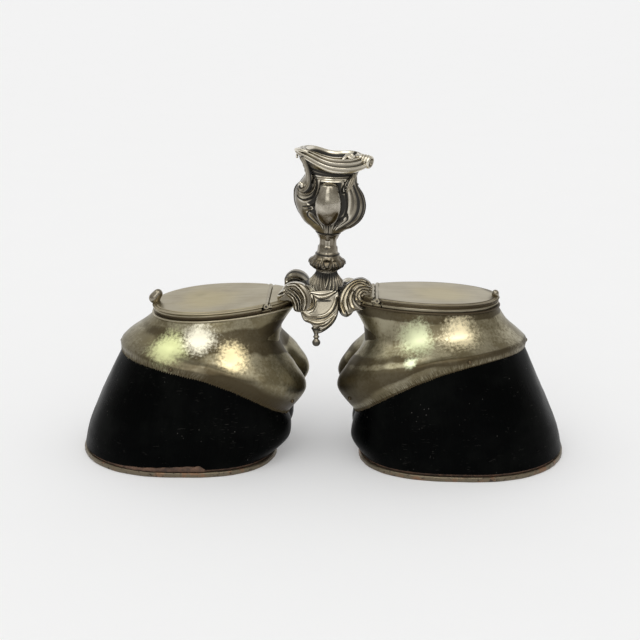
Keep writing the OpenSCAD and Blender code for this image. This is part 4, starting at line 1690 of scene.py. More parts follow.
def rod(path: Rows, radii: Row, rows: int = 60, cols: int = 20) -> Surface:
    """A round bar along a curve, with rounded ends.

    Args:
        path: points of its middle line.
        radii: its radii at evenly spaced places.
        rows: sections along it.
        cols: points round it.

    Returns:
        The closed bar.
    """
    line = resample(path, rows)
    size = resample(np.reshape(radii, (-1, 1)), rows)[:, 0]
    ends = np.minimum(np.arange(rows), np.arange(rows)[::-1]) / (0.06 * rows)
    size = size * np.sqrt(1 - (1 - np.clip(ends, 0.03, 1)) ** 2)
    ahead = unit(np.gradient(line, axis=0))
    side = unit(np.cross(ahead, np.array([0.31, 0.22, 0.93])))
    up = np.cross(side, ahead)
    a = np.linspace(0, TAU, cols, endpoint=False)[None, :, None]
    way = side[:, None] * np.cos(a) + up[:, None] * np.sin(a)
    return Surface.capped(line[:, None] + size[:, None, None] * way)


def panel(
    outline: Pairs, height: Relief, thick: float, place: Move, soft: float = 0.06,
    both: bool = False, rows: int = 110, cols: int = 320,
) -> Surface:
    """A flat casting with relief on its face, or on both faces.

    Args:
        outline: its closed outline, as (u, v) going round.
        height: the relief at (u, v).
        thick: its thickness behind the face.
        place: moves its points (u, v, height) to the part's frame.
        soft: the share of its width over which the edge is rounded.
        both: whether the back has the relief too.
        rows: sections from its edge to its middle.
        cols: points round it.

    Returns:
        The closed casting.
    """
    keys = np.asarray(outline, float)
    rim = smooth_path(keys, np.linspace(0, len(keys), cols, endpoint=False), True)
    middle = keys.mean(0)
    shares = np.linspace(0.02, 1, rows)[::-1, None] ** 0.8
    face = middle + (rim - middle) * shares[..., None]
    relief = height(face[..., 0], face[..., 1])
    edge = np.sqrt(np.clip(1 - np.clip(1 - (1 - shares) / soft, 0, 1) ** 2, 0, 1))
    sunk = 0.5 * thick if both else 0.5
    front = np.concatenate([face, (relief * edge - sunk * (1 - edge))[..., None]], -1)
    if both:
        rear = front[:0:-1] * np.array([1, 1, -1]) - np.array([0, 0, thick])
    else:
        flat = front[:1] * np.array([1, 1, 0]) - np.array([0, 0, thick])
        centre = np.array([*middle, -thick])
        rear = np.concatenate([centre + (flat - centre) * s for s in (0.3, 0.98)])
    return Surface.capped(place(np.concatenate([rear, front])))


def beads(name: str, path: Array, count: int, radius: float, material: Material) -> Object:
    """A row of small beads along a curve, set by Geometry Nodes.

    Args:
        name: the piece's name.
        path: points of the curve in the part's frame.
        count: the number of beads.
        radius: of each bead.
        material: the finish.

    Returns:
        One mesh that holds the row.
    """
    line = resample(path, 60)
    mesh = bpy.data.meshes.new(name)
    mesh.from_pydata((line * MM).tolist(), [(i, i + 1) for i in range(len(line) - 1)], [])
    tree = NodeTree("beads")
    curve = tree.add("GeometryNodeMeshToCurve", {"Mesh": tree.start})
    row = tree.add(
        "GeometryNodeCurveToPoints", {"Curve": curve["Curve"], "Count": count}, mode="COUNT"
    )
    size = tree.size("Bead radius", radius * MM)
    bead = tree.add("GeometryNodeMeshIcoSphere", {"Radius": size, "Subdivisions": 2})
    put = tree.add(
        "GeometryNodeInstanceOnPoints", {"Points": row["Points"], "Instance": bead["Mesh"]}
    )
    return tree.bake(show(name, mesh), put["Instances"], material)


@dataclass
class CandleHolder:
    """The cast candle holder: fluted foot, leafy knop, stem, cup and rim, round its plain liner.

    The paces are millimetres on the cup and the knop for each degree round the axis.
    """

    liner_r: float = 12.3
    flutes: int = 26
    lobes: int = 8
    cup_pace: float = 0.27
    knop_pace: float = 0.18

    CUP = (
        (3.0, 29.6), (6.3, 29.8), (7.2, 31.8), (8.2, 34.2), (9.6, 37.0), (12.4, 40.4), (15.0, 44.0),
        (16.4, 48.0), (16.8, 52.0), (16.4, 56.0), (15.5, 60.0), (14.7, 64.0), (14.6, 67.0),
        (14.8, 69.6), (12.4, 70.0), (12.3, 66.0), (12.3, 58.0), (12.3, 50.4), (6.0, 49.6),
        (0.5, 49.6),
    )
    LEFT_BULGE = (
        (31, 0.0), (36, 2.6), (40, 3.6), (45, 3.2), (50, 3.6), (56, 3.9), (60, 2.4), (65, 0.6),
        (70, 0),
    )
    RIGHT_BULGE = (
        (31, 0.2), (34, 2.2), (37, 4.4), (42.7, 4.8), (49, 3.9), (55, 2.1), (61, 0.4), (66, 0.8),
        (70, 1.4),
    )
    CUP_LINES = (
        Stroke((8.6, 66, 9.4, 60, 10.4, 52, 10.2, 46, 8.2, 40.5, 4.4, 34.5), 0.34, 1.3),
        Stroke((11.8, 62, 12.6, 56, 12.8, 50, 12.2, 45, 11.0, 42), 1.25, -1.9),
        Stroke((14.4, 67, 15.6, 60, 16.4, 53, 15.8, 46, 13.4, 40, 9.2, 34.6), 0.95, 1.9, 0.5),
        Stroke((16.4, 66, 17.8, 60, 18.4, 52, 17.8, 45, 15.0, 38), 0.4, -1.1),
        Stroke((18.0, 67, 19.4, 60, 20.2, 52, 19.4, 44, 16.8, 37.5), 0.5, 1.2),
        Stroke((21.0, 66, 22.2, 60, 23.0, 52, 22.2, 44, 19.4, 38), 0.5, 1.1),
        Stroke((13.0, 68, 9.4, 64, 7.6, 60, 8.8, 58.4, 12.0, 61.4, 16.4, 66), 0.36, 1.5),
        Stroke((15, 68, 11.4, 64.2, 8.8, 60.4), 0.3, 0.9),
        Stroke((4.4, 34, 6.4, 40, 9.4, 43.6, 11.8, 45.6, 12.6, 42, 9.2, 36.6), 0.36, 1.3),
        Stroke((6.4, 34.6, 8.6, 38.4, 10.8, 42.4), 0.3, 0.8),
        Stroke((-4.4, 34, -6.2, 40, -8.8, 44.6, -12.2, 46.2, -13.4, 43, -9.6, 37), 0.36, 1.3),
        Stroke((-6.4, 34.6, -8.4, 38.6, -10.8, 43.0), 0.3, 0.8),
        Stroke((-8.6, 67, -8.6, 60, -10.2, 55, -14.6, 52.4, -19.4, 53.6), 0.5, 1.9),
        Stroke((-6.0, 66, -6.4, 59, -7.6, 52.6, -10.8, 49.6, -16, 48.4), 0.45, 1.6),
        Stroke((-11.4, 62, -12.2, 58.4, -15.6, 56.0, -20.0, 57.2), 0.45, 1.7),
        Stroke((-13.6, 61, -15.4, 59.4, -18.4, 59.0, -20.6, 60.4), 0.4, 1.4),
        Stroke((-10.0, 66, -10.2, 60.4, -12.6, 56.6, -17.4, 55.2), 0.42, -1.2),
        Stroke((-13.4, 51, -10.6, 47.6, -14.4, 45.4), 0.7, -0.9),
        Stroke((0, 31, 0.2, 36, 0, 39), 0.5, 0.7),
    )

    LEAF_LINES = (
        Stroke(
            (-3.4, 14.6, -3.0, 11.8, -1.4, 10.5, 0, 10.2, 1.4, 10.5, 3, 11.8, 3.4, 14.6), 0.5, 1.0,
        ),
        Stroke((-2.2, 15.4, -1.0, 13.0, 0.4, 12.2), 0.34, 0.8),
        Stroke((2.0, 15.4, 1.4, 13.6, 0.8, 12.4), 0.34, 0.8),
        Stroke((-0.6, 12.2, -1.6, 11.6), 0.4, -0.6),
    )

    def ground(self, phi: Array, level: Array) -> Array:
        """Args: phi: degrees from the front; level. Returns: 1 on the sunk ground of the bosses."""
        total = np.zeros(phi.shape)
        for turn in (-2, 178):
            across = seen_from(phi, turn) * self.cup_pace
            total += np.exp(-(np.hypot(across / 11.2, (level - 51.6) / 15.8) ** 8))
        return total

    def cup_relief(self, phi: Array, level: Array) -> Array:
        """Args: phi: degrees from the front; level. Returns: the height of the cup's relief."""
        total = -1.25 * self.ground(phi, level)
        for centre, bulge in ((90, self.RIGHT_BULGE), (-90, self.LEFT_BULGE)):
            line = resample(bulge, 120)
            near = np.exp(-np.abs(seen_from(phi, centre) / 34) ** 2.6)
            total += np.interp(level, line[:, 0], line[:, 1]) * near
        for turn in (0, 180):
            local = seen_from(phi, turn)
            lines = drawn(self.CUP_LINES, local * self.cup_pace, level)
            side = np.exp(-(((np.abs(local) - 90) / 11) ** 2) - ((level - 63.5) / 6) ** 4)
            total += lines * (1 - side)
        fade = np.clip((level - 29.6) / 3, 0, 1) * (level <= 69.7)
        return total * fade

    def cup(self) -> Surface:
        """Returns: the cup, hollow for the liner, with its two pear-shaped bosses."""
        line = resample(self.CUP, 256)
        phi = np.linspace(-180, 180, 344, endpoint=False)[None] + np.zeros((len(line), 1))
        outside = np.arange(len(line)) < int(np.argmax(line[:, 1])) - 4
        ahead = unit(np.gradient(line, axis=0))
        level = line[:, 1:] + np.zeros_like(phi)
        height = self.cup_relief(phi, level) * outside[:, None]
        radius = np.maximum(line[:, :1] + height * np.abs(ahead[:, 1:]), 0.3)
        shade = 0.5 * self.ground(phi, level) * outside[:, None]
        level = level - height * ahead[:, :1]
        body = Surface.capped(stem_frame(ring_round(phi, radius, level)))
        pear = [
            (0.1, -13.0), (2.6, -12.3), (5.2, -9.8), (7.0, -6.0), (7.9, -1.6), (7.7, 2.4),
            (6.7, 6.4), (5.7, 9.8), (4.3, 12.2), (0.1, 13.4),
        ]
        bosses = [lathe(pear, 0.95).placed(on_holder(phi, 14.0, 51.2, 3)) for phi in (-2, 178)]
        whole = Surface.joined([body, *bosses])
        whole.mark_hollows(21)
        whole.marks["hollow"][: shade.size] += shade.ravel()
        tarnish = np.full(len(whole.points), 0.32)
        # On the bosses the tarnish mark is stronger and grows towards their lower parts: more
        # tarnish, and below the middle a painted dark reflection of the shadowed floor.
        low = np.clip((56 - (whole.points[:, 2] - HOLDER_Z)) / 10, 0.7, 1)
        tarnish[len(body.points) :] = low[len(body.points) :]
        whole.marks["tarnish"] = tarnish
        return whole

    def handles(self) -> Surface:
        """Returns: the straps and volutes on the cup's two sides."""
        parts = []
        for turn, sink in ((0, 0.0), (180, 3.4)):
            way = [
                (-60, 20.2, 78), (-54, 18.6, 74.4), (-49, 17.6, 70), (-46, 17.2, 65.6),
                (-46, 17.4, 61.6), (-51, 18.4, 58.8), (-58, 19.4, 57.8), (-64, 19.6, 59.4),
            ]
            path = [polar(phi + turn, rho - sink, z) for phi, rho, z in way]
            widths = [1.9, 2.1, 2.2, 2.3, 2.2, 1.9, 1.5, 0.9]
            facing = polar(-56 + turn, 1, 0.25)
            parts.append(strap(path, widths, [1.9] * 8, facing, ridges=2, crest=0.16))
            curl = [(-66, 19.4, 60.4), (-61, 19.6, 61.8), (-57, 19.2, 60.8), (-60, 19.6, 59.4)]
            path = [polar(phi + turn, rho - sink, z) for phi, rho, z in curl]
            parts.append(rod(path, [0.9, 1.1, 1.1, 0.8]))
            ball = [(0.02, -1.2), (1.0, -0.8), (1.3, 0), (1.0, 0.8), (0.02, 1.2)]
            at = np.asarray(polar(-60 + turn, 19.6 - sink, 59.8))
            parts.append(lathe(ball, 1.0, 14, 20).placed(lambda p, at=at: p + at))
            leaf = [(62, 15.8, 71.4), (56, 16.2, 68.4), (47, 17.2, 65), (38, 17.6, 61.4)]
            path = [polar(phi + turn, rho, z) for phi, rho, z in (*leaf, (33, 17.4, 59))]
            widths = [1.3, 1.9, 2.1, 1.6, 0.4]
            parts.append(strap(path, widths, [1.1] * 5, polar(46 + turn, 1, 0.2), ridges=3))
        return Surface.joined(parts).placed(stem_frame)

    RIM = (
        (13.4, 79.0, 19.6, 72.6), (13.9, 78.6, 20.8, 72.0), (15.4, 77.8, 22.6, 74.0),
        (16.4, 77.6, 20.8, 74.6), (14.6, 76.6, 18.4, 73.4), (15.4, 79.8, 20.2, 77.0),
        (14.8, 80.6, 21.7, 79.0), (13.8, 80.6, 20.0, 77.4),
    )

    def rim(self) -> Surface:
        """Returns: the lobed rim with its parallel ridges, roll and curl."""
        cols = 420
        turn = np.linspace(0, 8, cols, endpoint=False)
        crest_r, crest_z, edge_r, edge_z = smooth_path(np.array(self.RIM), turn, True).T
        phi = turn * 45
        s = np.linspace(0, 1, 64)
        ridge = 0.62 * np.cos(TAU * 3.5 * s) * np.clip(np.minimum(s, 1 - s) / 0.05 + 0.4, 0, 1)
        slope_r = crest_r + (edge_r - crest_r) * s[:, None] + (0.6 * ridge)[:, None]
        slope_z = crest_z + (edge_z - crest_z) * s[:, None]
        slope_z = slope_z + (0.9 * np.sin(np.pi * s) + 0.8 * ridge)[:, None]
        rings = list(zip(slope_r, slope_z))
        rings += [
            (edge_r + (17.6 - edge_r) * share, edge_z - drop) for share,
            drop in ((0.15, 0.9), (0.5, 1.6))
        ]
        collar = (
            (17.6, 71.0), (16.9, 70.0), (16.2, 69.2), (15.8, 68.2), (15.5, 67.4), (15.2, 66.6),
        )
        collar += ((14.9, 65.8), (14.6, 65.0), (14.4, 64.4))
        for k, (r, z) in enumerate(collar):
            follow = max(0.0, 0.5 - 0.13 * k)
            groove = 0.26 * (-1) ** k
            rings.append((r + groove + (edge_r - 20) * follow * 0.6, z + (edge_z - 73) * follow))
        rings += [(np.full(cols, 13.0), 64.2), (np.full(cols, self.liner_r), 65.2)]
        for share in (0.0, 0.35, 0.7, 0.9):
            inner_r = self.liner_r + (crest_r - 1.1 - self.liner_r) * share**1.5
            rings.append((inner_r, 70 + (crest_z - 71.0) * share))
        radius = np.maximum(np.stack([r + np.zeros(cols) for r, _ in rings]), self.liner_r)
        level = np.stack([z + np.zeros(cols) for _, z in rings])
        parts = [Surface.loop(ring_round(phi, radius, level))]
        # Painted shade: the last five rings, down inside the rim's opening to the liner, get a
        # fixed hollow mark that turns them black.
        inside = np.zeros(radius.shape)
        inside[-5:] = np.array([0.5, 0.5, 0.5, 0.4, 0.25])[:, None]
        roll = [
            (0.05, -6.0), (2.6, -5.6), (3.5, -4.0), (3.2, -3.0), (3.8, -2.2), (3.4, -1.3),
            (4.0, -0.4),
        ]
        roll += [
            (3.7, 0.5), (4.0, 1.3), (3.5, 2.3), (2.6, 2.5), (1.9, 1.6), (1.2, 0.4), (0.05, 0.2),
        ]
        a = math.radians(62 - 90)
        axis = unit(np.array([math.cos(a), math.sin(a), -0.16]))
        side = unit(np.cross(axis, np.array([0.0, 0.0, 1.0])))
        axes = np.stack([side, np.cross(side, axis), axis])
        at = np.asarray(polar(82, 21.0, 75.2))
        parts.append(lathe(roll, 1.0, 110, 64).placed(lambda p: at + p @ axes))
        curl = [
            (24, 15.8, 77.6), (33, 14.8, 79.2), (43, 13.6, 80.0), (52, 14.0, 79.8),
            (53, 15.6, 79.0), (45, 16.3, 78.6), (40, 15.3, 79.2), (46, 14.7, 79.5),
        ]
        parts.append(rod([polar(*p) for p in curl], [0.7, 0.9, 1.0, 1.0, 0.95, 0.9, 0.8, 0.7], 90))
        tip = [
            polar(-52, 17.2, 80.6), polar(-68, 19, 80.7), polar(-84, 20.8, 80.0),
            polar(-94, 21.4, 79),
        ]
        parts.append(rod(tip, [0.8, 1.1, 1.1, 0.7]))
        for angle, rho, z in ((-88, 21.0, 79.2), (-84, 20.6, 76.2)):
            path = [polar(angle, rho + d, z) for d in (-1.0, 0.0, 0.4)]
            parts.append(rod(path, [1.1, 1.25, 1.0], 16, 16))
        whole = Surface.joined(parts).placed(stem_frame)
        whole.mark_hollows(14)
        hollow = whole.marks["hollow"][: inside.size]
        # The painted shade of the opening takes the place of the measured hollows there.
        hollow[inside.ravel() > 0] = inside[inside > 0]
        return whole

    def knop_relief(self, phi: Array, level: Array) -> Array:
        """Args: phi; level. Returns: the knop's leaves."""
        body = np.clip(np.sin(np.pi * np.clip((level - 8.4) / 9.0, 0, 1)), 0, 1) ** 0.7
        cell = 360 / self.lobes
        local = seen_from(phi, 0, cell)
        seam = np.exp(-(((np.abs(local) - cell / 2) / 4.0) ** 2))
        leaves = 0.3 * np.cos(np.pi * local / cell) ** 2 - 0.45 * seam
        return body * (leaves + 0.5 * drawn(self.LEAF_LINES, local * self.knop_pace, level) - 0.15)

    def stem_relief(self, phi: Array, level: Array) -> Array:
        """Args: phi; level. Returns: the ribs along the stem and its four sunk panels."""
        ribs = np.abs(np.cos(np.radians(phi * 4 + 20))) ** 3
        waist = np.clip((level - 18.4) / 3, 0, 1) * np.clip((31 - level) / 2, 0, 1)
        patch = np.exp(-((seen_from(phi, 0, 90) / 17) ** 6) - (np.abs(level - 25.2) / 2.2) ** 6)
        return waist * (0.3 * ribs - 0.15 - 0.7 * patch)

    def skirt(self) -> Surface:
        """Returns: the swirled, fluted foot."""
        rows, cols = 84, 520
        phi = np.linspace(-180, 180, cols, endpoint=False)[None]
        edge = 1 - 4 * np.cos(np.radians(phi)) ** 2
        share = np.linspace(0, 1, rows)[:, None]
        level = 8.2 + (edge - 8.2) * share
        heights = [-5, -3, -1, 1, 3, 5, 6.5, 8, 9]
        radii = [15.8, 14.2, 12.2, 10.2, 8.4, 7.0, 6.2, 5.9, 5.9]
        radius = np.interp(level, heights, radii)
        swirl = phi + 24 * share**1.6 * np.sign(np.sin(np.radians(phi + 0.01)))
        turns = np.radians(swirl * self.flutes / 2)
        flute = np.abs(np.cos(turns)) ** 0.7 + 0.25 * np.cos(4 * turns) * share
        fade = np.clip(share / 0.12, 0, 1) * np.clip((0.94 - share) / 0.05, 0, 1)
        lip = 0.35 * np.exp(-(((share - 0.97) / 0.03) ** 2))
        radius = radius + (1.25 * flute - 0.8) * fade * radius / 11 + lip
        rings = ring_round(phi, radius, level)
        hem = rings[-1:] - np.array([0, 0, 0.9])
        rings = np.concatenate([rings, hem, hem * np.array([0.86, 0.86, 1])])
        whole = Surface.capped(stem_frame(rings))
        whole.mark_hollows(20)
        shade = 0.3 * np.clip(1 - share / 0.5, 0, 1) + 0.07
        whole.marks["hollow"][: rows * cols] += np.repeat(shade[:, 0], cols)
        return whole

    def build(self) -> None:
        """Builds and dresses the candle holder's pieces."""
        knop = [
            (0.4, 7.9), (6.2, 8.0), (6.5, 8.8), (8.4, 9.9), (10.2, 11.6), (10.7, 13.2), (9.8, 14.8),
            (8.2, 16.2), (7.2, 17.5), (6.7, 18.4), (0.4, 18.6),
        ]
        stem = [
            (0.4, 17.8), (6.4, 18.0), (6.0, 20.0), (5.7, 22.4), (5.4, 25.0), (5.6, 27.6),
            (6.2, 29.2), (6.9, 30.6), (7.3, 31.8), (0.4, 32.0),
        ]
        for name, surface, rounds, tarnish in (
            ("foot_skirt", self.skirt(), 0, 0.5),
            ("knop", turned(knop, self.knop_relief, 140, 420), 30, 0.8),
            ("stem", turned(stem, self.stem_relief, 80, 200), 14, 0.5),
            ("socket_cup", self.cup(), 0, None), ("cup_scrolls", self.handles(), 8, 0.2),
            ("socket_rim", self.rim(), 0, 0.1),
        ):
            if rounds:
                surface.mark_hollows(rounds)
            if tarnish is not None:
                surface.marks["tarnish"] = np.full(len(surface.points), tarnish)
            piece = surface.build(f"{name}_fine", Slot.CASTING.material(), 60)
            fit(piece, "root", Slot.CASTING, name)
        dress(Slot.LINER, "socket_liner")
        dress(Slot.IRON, "tie_rod", "tie_nut")


# The bracket


@dataclass
class Bracket:
    """The cast bracket between the hooves: saddle, hanging shields, pendants and corner scrolls.

    The shields and scrolls are drawn in one leaning plane, (u, v), whose origin is shield_at.
    """

    shield_at: Point = (-1.4, -21.4, 80.0)
    shield_lean: float = 18.0
    scroll_thick: float = 6.0
    bend: float = 0.012

    SHIELD = (
        (-1.1, -0.9), (2.4, 0.0), (7.2, 3.6), (10.1, 7.8), (11.3, 12.0), (11.4, 18.0), (11.0, 24.2),
        (5.0, 24.8), (-1.0, 24.4), (-7.0, 23.4), (-10.8, 19.0), (-11.4, 14.0), (-10.6, 10.0),
        (-8.8, 6.4), (-4.6, 4.4), (-3.0, 1.2),
    )
    SHIELD_LINES = (
        Stroke((-3.9, 21.8, -1.2, 19.8, 2.1, 19.6, 5.9, 20.7, 10.4, 24.0), 0.55, 1.5),
        Stroke((-6.4, 23.0, 0.6, 21.7, 6.4, 22.9, 9.4, 24.6), 0.36, 0.9),
        Stroke((-3.7, 21.6, -2.5, 17.4, -3.6, 14.0, -7.2, 12.2), 0.5, 1.6),
        Stroke((-1.6, 18.9, -2.0, 15.6, -3.4, 12.2, -6.0, 10.9), 0.32, 0.9),
        Stroke((-4.8, 20, -4.4, 16, -6.6, 12.6), 0.5, -1.0),
        Stroke(
            (10.4, 20.5, 9.8, 16.6, 7.9, 12.3, 4.3, 8.9, -0.7, 7.7, -6.5, 8.8, -9.6, 11.2), 0.65,
            2.0, 0.6,
        ),
        Stroke((9.2, 19.5, 8.4, 16.2, 6.6, 13.0, 3.4, 10.4, -0.8, 9.4, -5.0, 9.8), 0.5, -0.5),
        Stroke((9.6, 11.4, 6.6, 8.4, 2.6, 6.2, -2.4, 5.7, -8.4, 7.8), 0.5, -0.7),
        Stroke((-8.2, 6.6, -4.4, 5.0, 0.6, 4.6, 3.6, 5.4), 0.5, 1.0),
        Stroke((-2.6, 1.4, 0.4, 3.4, 2.6, 3.6, 5.6, 5.2, 9.2, 9.4), 0.5, 1.2),
        Stroke((-0.8, 0.2, 3.0, 1.6, 7.2, 5.0, 10.2, 9.8), 0.45, 1.0),
        Stroke((-1.8, 2.6, -0.8, 0.4), 0.5, 0.8),
    )
    ARCH = (
        (-25.4, 20.4), (-24.4, 22.8), (-22.6, 24.6), (-21.2, 27.0), (-18.0, 29.0), (-14.0, 29.7),
        (-9.6, 28.6), (-6.0, 25.4), (-3.9, 21.4), (-3.6, 17.4), (-4.4, 13.4), (-7.4, 11.6),
        (-10.4, 11.4), (-13.4, 11.6), (-15.0, 12.6), (-15.6, 15.0), (-16.4, 17.0), (-18.6, 18.2),
        (-21.8, 18.0), (-24.8, 18.4),
    )
    ARCH_LINES = (
        Stroke(
            (-19.6, 28.2, -15.0, 28.8, -10.3, 28.0, -7.0, 25.2, -5.2, 21.6, -4.9, 18.0, -5.4, 14.6),
            0.36, 1.1,
        ),
        Stroke(
            (-18.6, 26.9, -14.2, 27.2, -10.7, 24.1, -8.5, 20.3, -8.2, 16.1, -9.2, 12.6), 0.85, 2.1,
            0.6,
        ),
        Stroke((-17.0, 25.5, -13.2, 23.6, -10.0, 20.0, -9.4, 16.6, -9.9, 13.6), 0.42, -1.7, 0.6),
        Stroke((-18.7, 25.4, -14.8, 23.2, -11.6, 19.6, -10.6, 16.1, -10.9, 12.8), 0.4, 1.5, 0.6),
        Stroke((-19.6, 24.2, -15.9, 22.1, -13.0, 18.6, -11.9, 15.4, -12.1, 12.6), 0.4, 1.4, 0.6),
        Stroke((-18.6, 21.8, -15.8, 19.8, -14.4, 17.0, -13.8, 14.8, -13.6, 12.6), 0.9, 1.5, 0.6),
        Stroke((-20.3, 24.4, -22.4, 23.4, -24.2, 22.4), 0.8, 1.4, 0.7),
        Stroke((-20.6, 22.2, -22.8, 21.2, -24.8, 20.4), 0.8, 1.5, 0.7),
        Stroke((-21.4, 23.0, -24.6, 21.6), 0.4, -0.8),
    )
    CURL = (
        (30.9, 28.0), (29.0, 30.7), (25.3, 32.6), (21.1, 32.0), (16.9, 29.6), (13.5, 25.9),
        (11.4, 21.7), (10.8, 17.1), (11.4, 12.9), (13.1, 10.0), (16.0, 8.9), (18.6, 10.2),
        (20.4, 12.3), (22.7, 12.7), (25.3, 12.3), (28.6, 12.7), (30.8, 14.3), (31.1, 17.0),
        (31.0, 20.0), (31.1, 23.0), (31.1, 25.4),
    )
    CURL_LINES = (
        Stroke(
            (
                29.6, 29.6, 25.3, 31.6, 21.1, 31.0, 16.9, 28.5, 13.7, 24.4, 12.2, 19.6, 12.4, 15.0,
                14.0, 10.8,
            ),
            0.5, 1.7, 0.7,
        ),
        Stroke(
            (
                28.6, 28.4, 24.8, 30.1, 21.1, 29.4, 17.8, 26.9, 15.4, 23.1, 14.1, 19.2, 14.5, 15.0,
                16.4, 11.0,
            ),
            0.5, 1.9, 0.7,
        ),
        Stroke(
            (27.3, 27.6, 24.4, 28.7, 21.5, 28.0, 18.8, 25.6, 17.0, 21.9, 16.3, 17.9, 17.2, 13.6),
            0.5, 1.7, 0.6,
        ),
        Stroke((19.9, 24.4, 18.3, 20.4, 19.0, 16.2, 20.6, 14.0), 0.8, -2.0),
        Stroke(
            (
                29.6, 26.6, 25.9, 27.0, 22.6, 25.5, 20.8, 22.3, 21.2, 18.3, 23.4, 15.6, 26.8, 14.0,
                30.5, 14.4,
            ),
            0.55, 1.9, 0.6,
        ),
        Stroke(
            (
                28.4, 24.9, 25.7, 25.3, 23.5, 23.9, 22.4, 21.4, 23.3, 18.4, 25.4, 16.5, 28.6, 15.8,
                30.8, 16.4,
            ),
            0.45, 1.5, 0.6,
        ),
        Stroke(
            (27.4, 23.3, 25.5, 23.6, 24.3, 21.9, 24.9, 19.5, 27.1, 18.2, 30.4, 18), 0.42, 1.3, 0.6,
        ),
        Stroke((25.9, 21.6, 26.2, 21.4), 0.9, 1.8),
        Stroke((26.6, 20.7, 28.6, 20.2, 31.4, 19.8), 0.42, -2.2),
        Stroke((12.6, 18.4, 13.0, 14.4, 15.0, 10.8), 0.4, -0.8),
    )

    LEAVES = {
        Side.LEFT: (
            (-9.5, -9.6, 103.6, -13, -10.4, 103.2, -17, -9.6, 102, -21, -7.4, 100.4, -24, -5, 99),
            (
                -9.4, -3.4, 103.4, -13, -2.6, 102.6, -17, -1.2, 101.4, -21, 0.4, 100, -23.6, 1.6,
                98.8,
            ),
            (-9.4, 3.4, 103.4, -13, 4.4, 102.8, -17, 6.6, 101.6, -20, 9.4, 100.8, -22, 12, 100),
        ),
        Side.RIGHT: (
            (9.5, -9.6, 103.6, 13, -9.4, 103.4, 17, -8, 102.4, 21, -6, 101.4, 24.5, -4, 100.4),
            (9.4, -2.6, 103.4, 13, -1.6, 102.8, 17, -0.4, 102, 21, 0.6, 101.2, 24.5, 1.4, 100.4),
            (9.4, 3.6, 103.4, 13, 5, 102.4, 17, 7, 101.4, 20, 9.4, 100.6, 22, 11.5, 100),
        ),
    }

    def bent(self, u: Array) -> Array:
        """Args: u: across the stand. Returns: how far the scrolls bend back there."""
        return self.bend * (np.abs(u) - 8) ** 2

    def shield_relief(self, u: Array, v: Array) -> Array:
        """Args: u, v: places on the shield. Returns: its relief."""
        dish = np.exp(-(np.hypot((u - 2.2) / 6.6, (v - 14.8) / 5.6) ** 4))
        swell = 1.4 * np.exp(-(np.hypot(u / 12, (v - 11) / 14) ** 4))
        low = 0.8 * np.exp(-(np.hypot((u - 2) / 8, (v - 4) / 3) ** 2))
        return swell - 0.7 * dish + low + drawn(self.SHIELD_LINES, u, v)

    def arch_relief(self, u: Array, v: Array) -> Array:
        """Args: u, v: places on the arched scroll. Returns: its relief."""
        crown = 1.5 * np.exp(-(np.hypot((u + 12) / 9, (v - 20) / 9) ** 4))
        return crown + 1.25 * drawn(self.ARCH_LINES, u, v)

    def curl_relief(self, u: Array, v: Array) -> Array:
        """Args: u, v: places on the curled scroll. Returns: its relief."""
        crown = 1.6 * np.exp(-(np.hypot((u - 20) / 10, (v - 20) / 11) ** 4))
        drop = 1.4 * np.exp(-(np.hypot((u - 15.6) / 3.2, (v - 11.4) / 3.0) ** 2))
        return crown + drop + 1.3 * drawn(self.CURL_LINES, u, v)

    def shield(self) -> Surface:
        """Returns: the front shield."""
        plane = in_plane(self.shield_at, self.shield_lean)
        return panel(self.SHIELD, self.shield_relief, 3.4, plane)

    def scroll(
        self, outline: Pairs, relief: Relief, size: float = 1.0, pivot: Pair = (0.0, 0.0),
        shift: Pair = (0.0, 0.0), behind: bool = False,
    ) -> Surface:
        """A scroll with relief on both faces, curved back at its outer end.

        Args:
            outline: its outline in the leaning plane.
            relief: its relief there.
            size: how much it is scaled about the pivot.
            pivot: the place that the scaling keeps.
            shift: how far it is moved in the plane.
            behind: whether it is turned half round, to the back of the stand.

        Returns:
            The closed scroll.
        """
        plane = in_plane(self.shield_at, self.shield_lean)

        def place(points: Array) -> Array:
            """Args: points on the panel. Returns: the same points in the part's frame."""
            moved = points.copy()
            moved[..., :2] = (points[..., :2] - pivot) * size + pivot + shift
            moved[..., 2] = points[..., 2] * size + 0.9 - self.bent(moved[..., 0])
            part = plane(moved)
            return part * np.array([-1, -1, 1]) if behind else part

        return panel(outline, relief, self.scroll_thick, place, 0.16, True, 76, 290)

    def saddle(self) -> Surface:
        """Returns: the body that bridges the two plates."""
        levels = [
            (0.5, 0.5, 2, 87), (9, 9, 2, 87.1), (11.4, 12, 2.2, 88.8), (13.2, 14.2, 2.4, 91.4),
        ]
        levels += [(15, 16.2, 2.7, 95.6), (15.2, 16.2, 3, 98.6), (14.2, 14.8, 2.7, 100.2)]
        levels += [(12.6, 13.0, 2.4, 101.4), (11.4, 11.4, 2.1, 102.6), (10, 10, 2, 104.6)]
        rows = smooth_path(np.array(levels, float), np.linspace(0, len(levels) - 1, 90))
        a = np.linspace(0, TAU, 240, endpoint=False)
        n = rows[:, 2:3]
        k = (np.abs(np.cos(a)) ** n + np.abs(np.sin(a)) ** n) ** (-1 / n)
        z = rows[:, 3:4] + np.zeros_like(k)
        ribs = 0.35 * np.cos((z - 87) * 2.4) * np.clip((rows[:, 1:2] - 6) / 4, 0, 1)
        x, y = (rows[:, :1] + ribs) * k * np.cos(a), (rows[:, 1:2] + ribs) * k * np.sin(a)
        return Surface.capped(np.stack([x, y, z], -1))

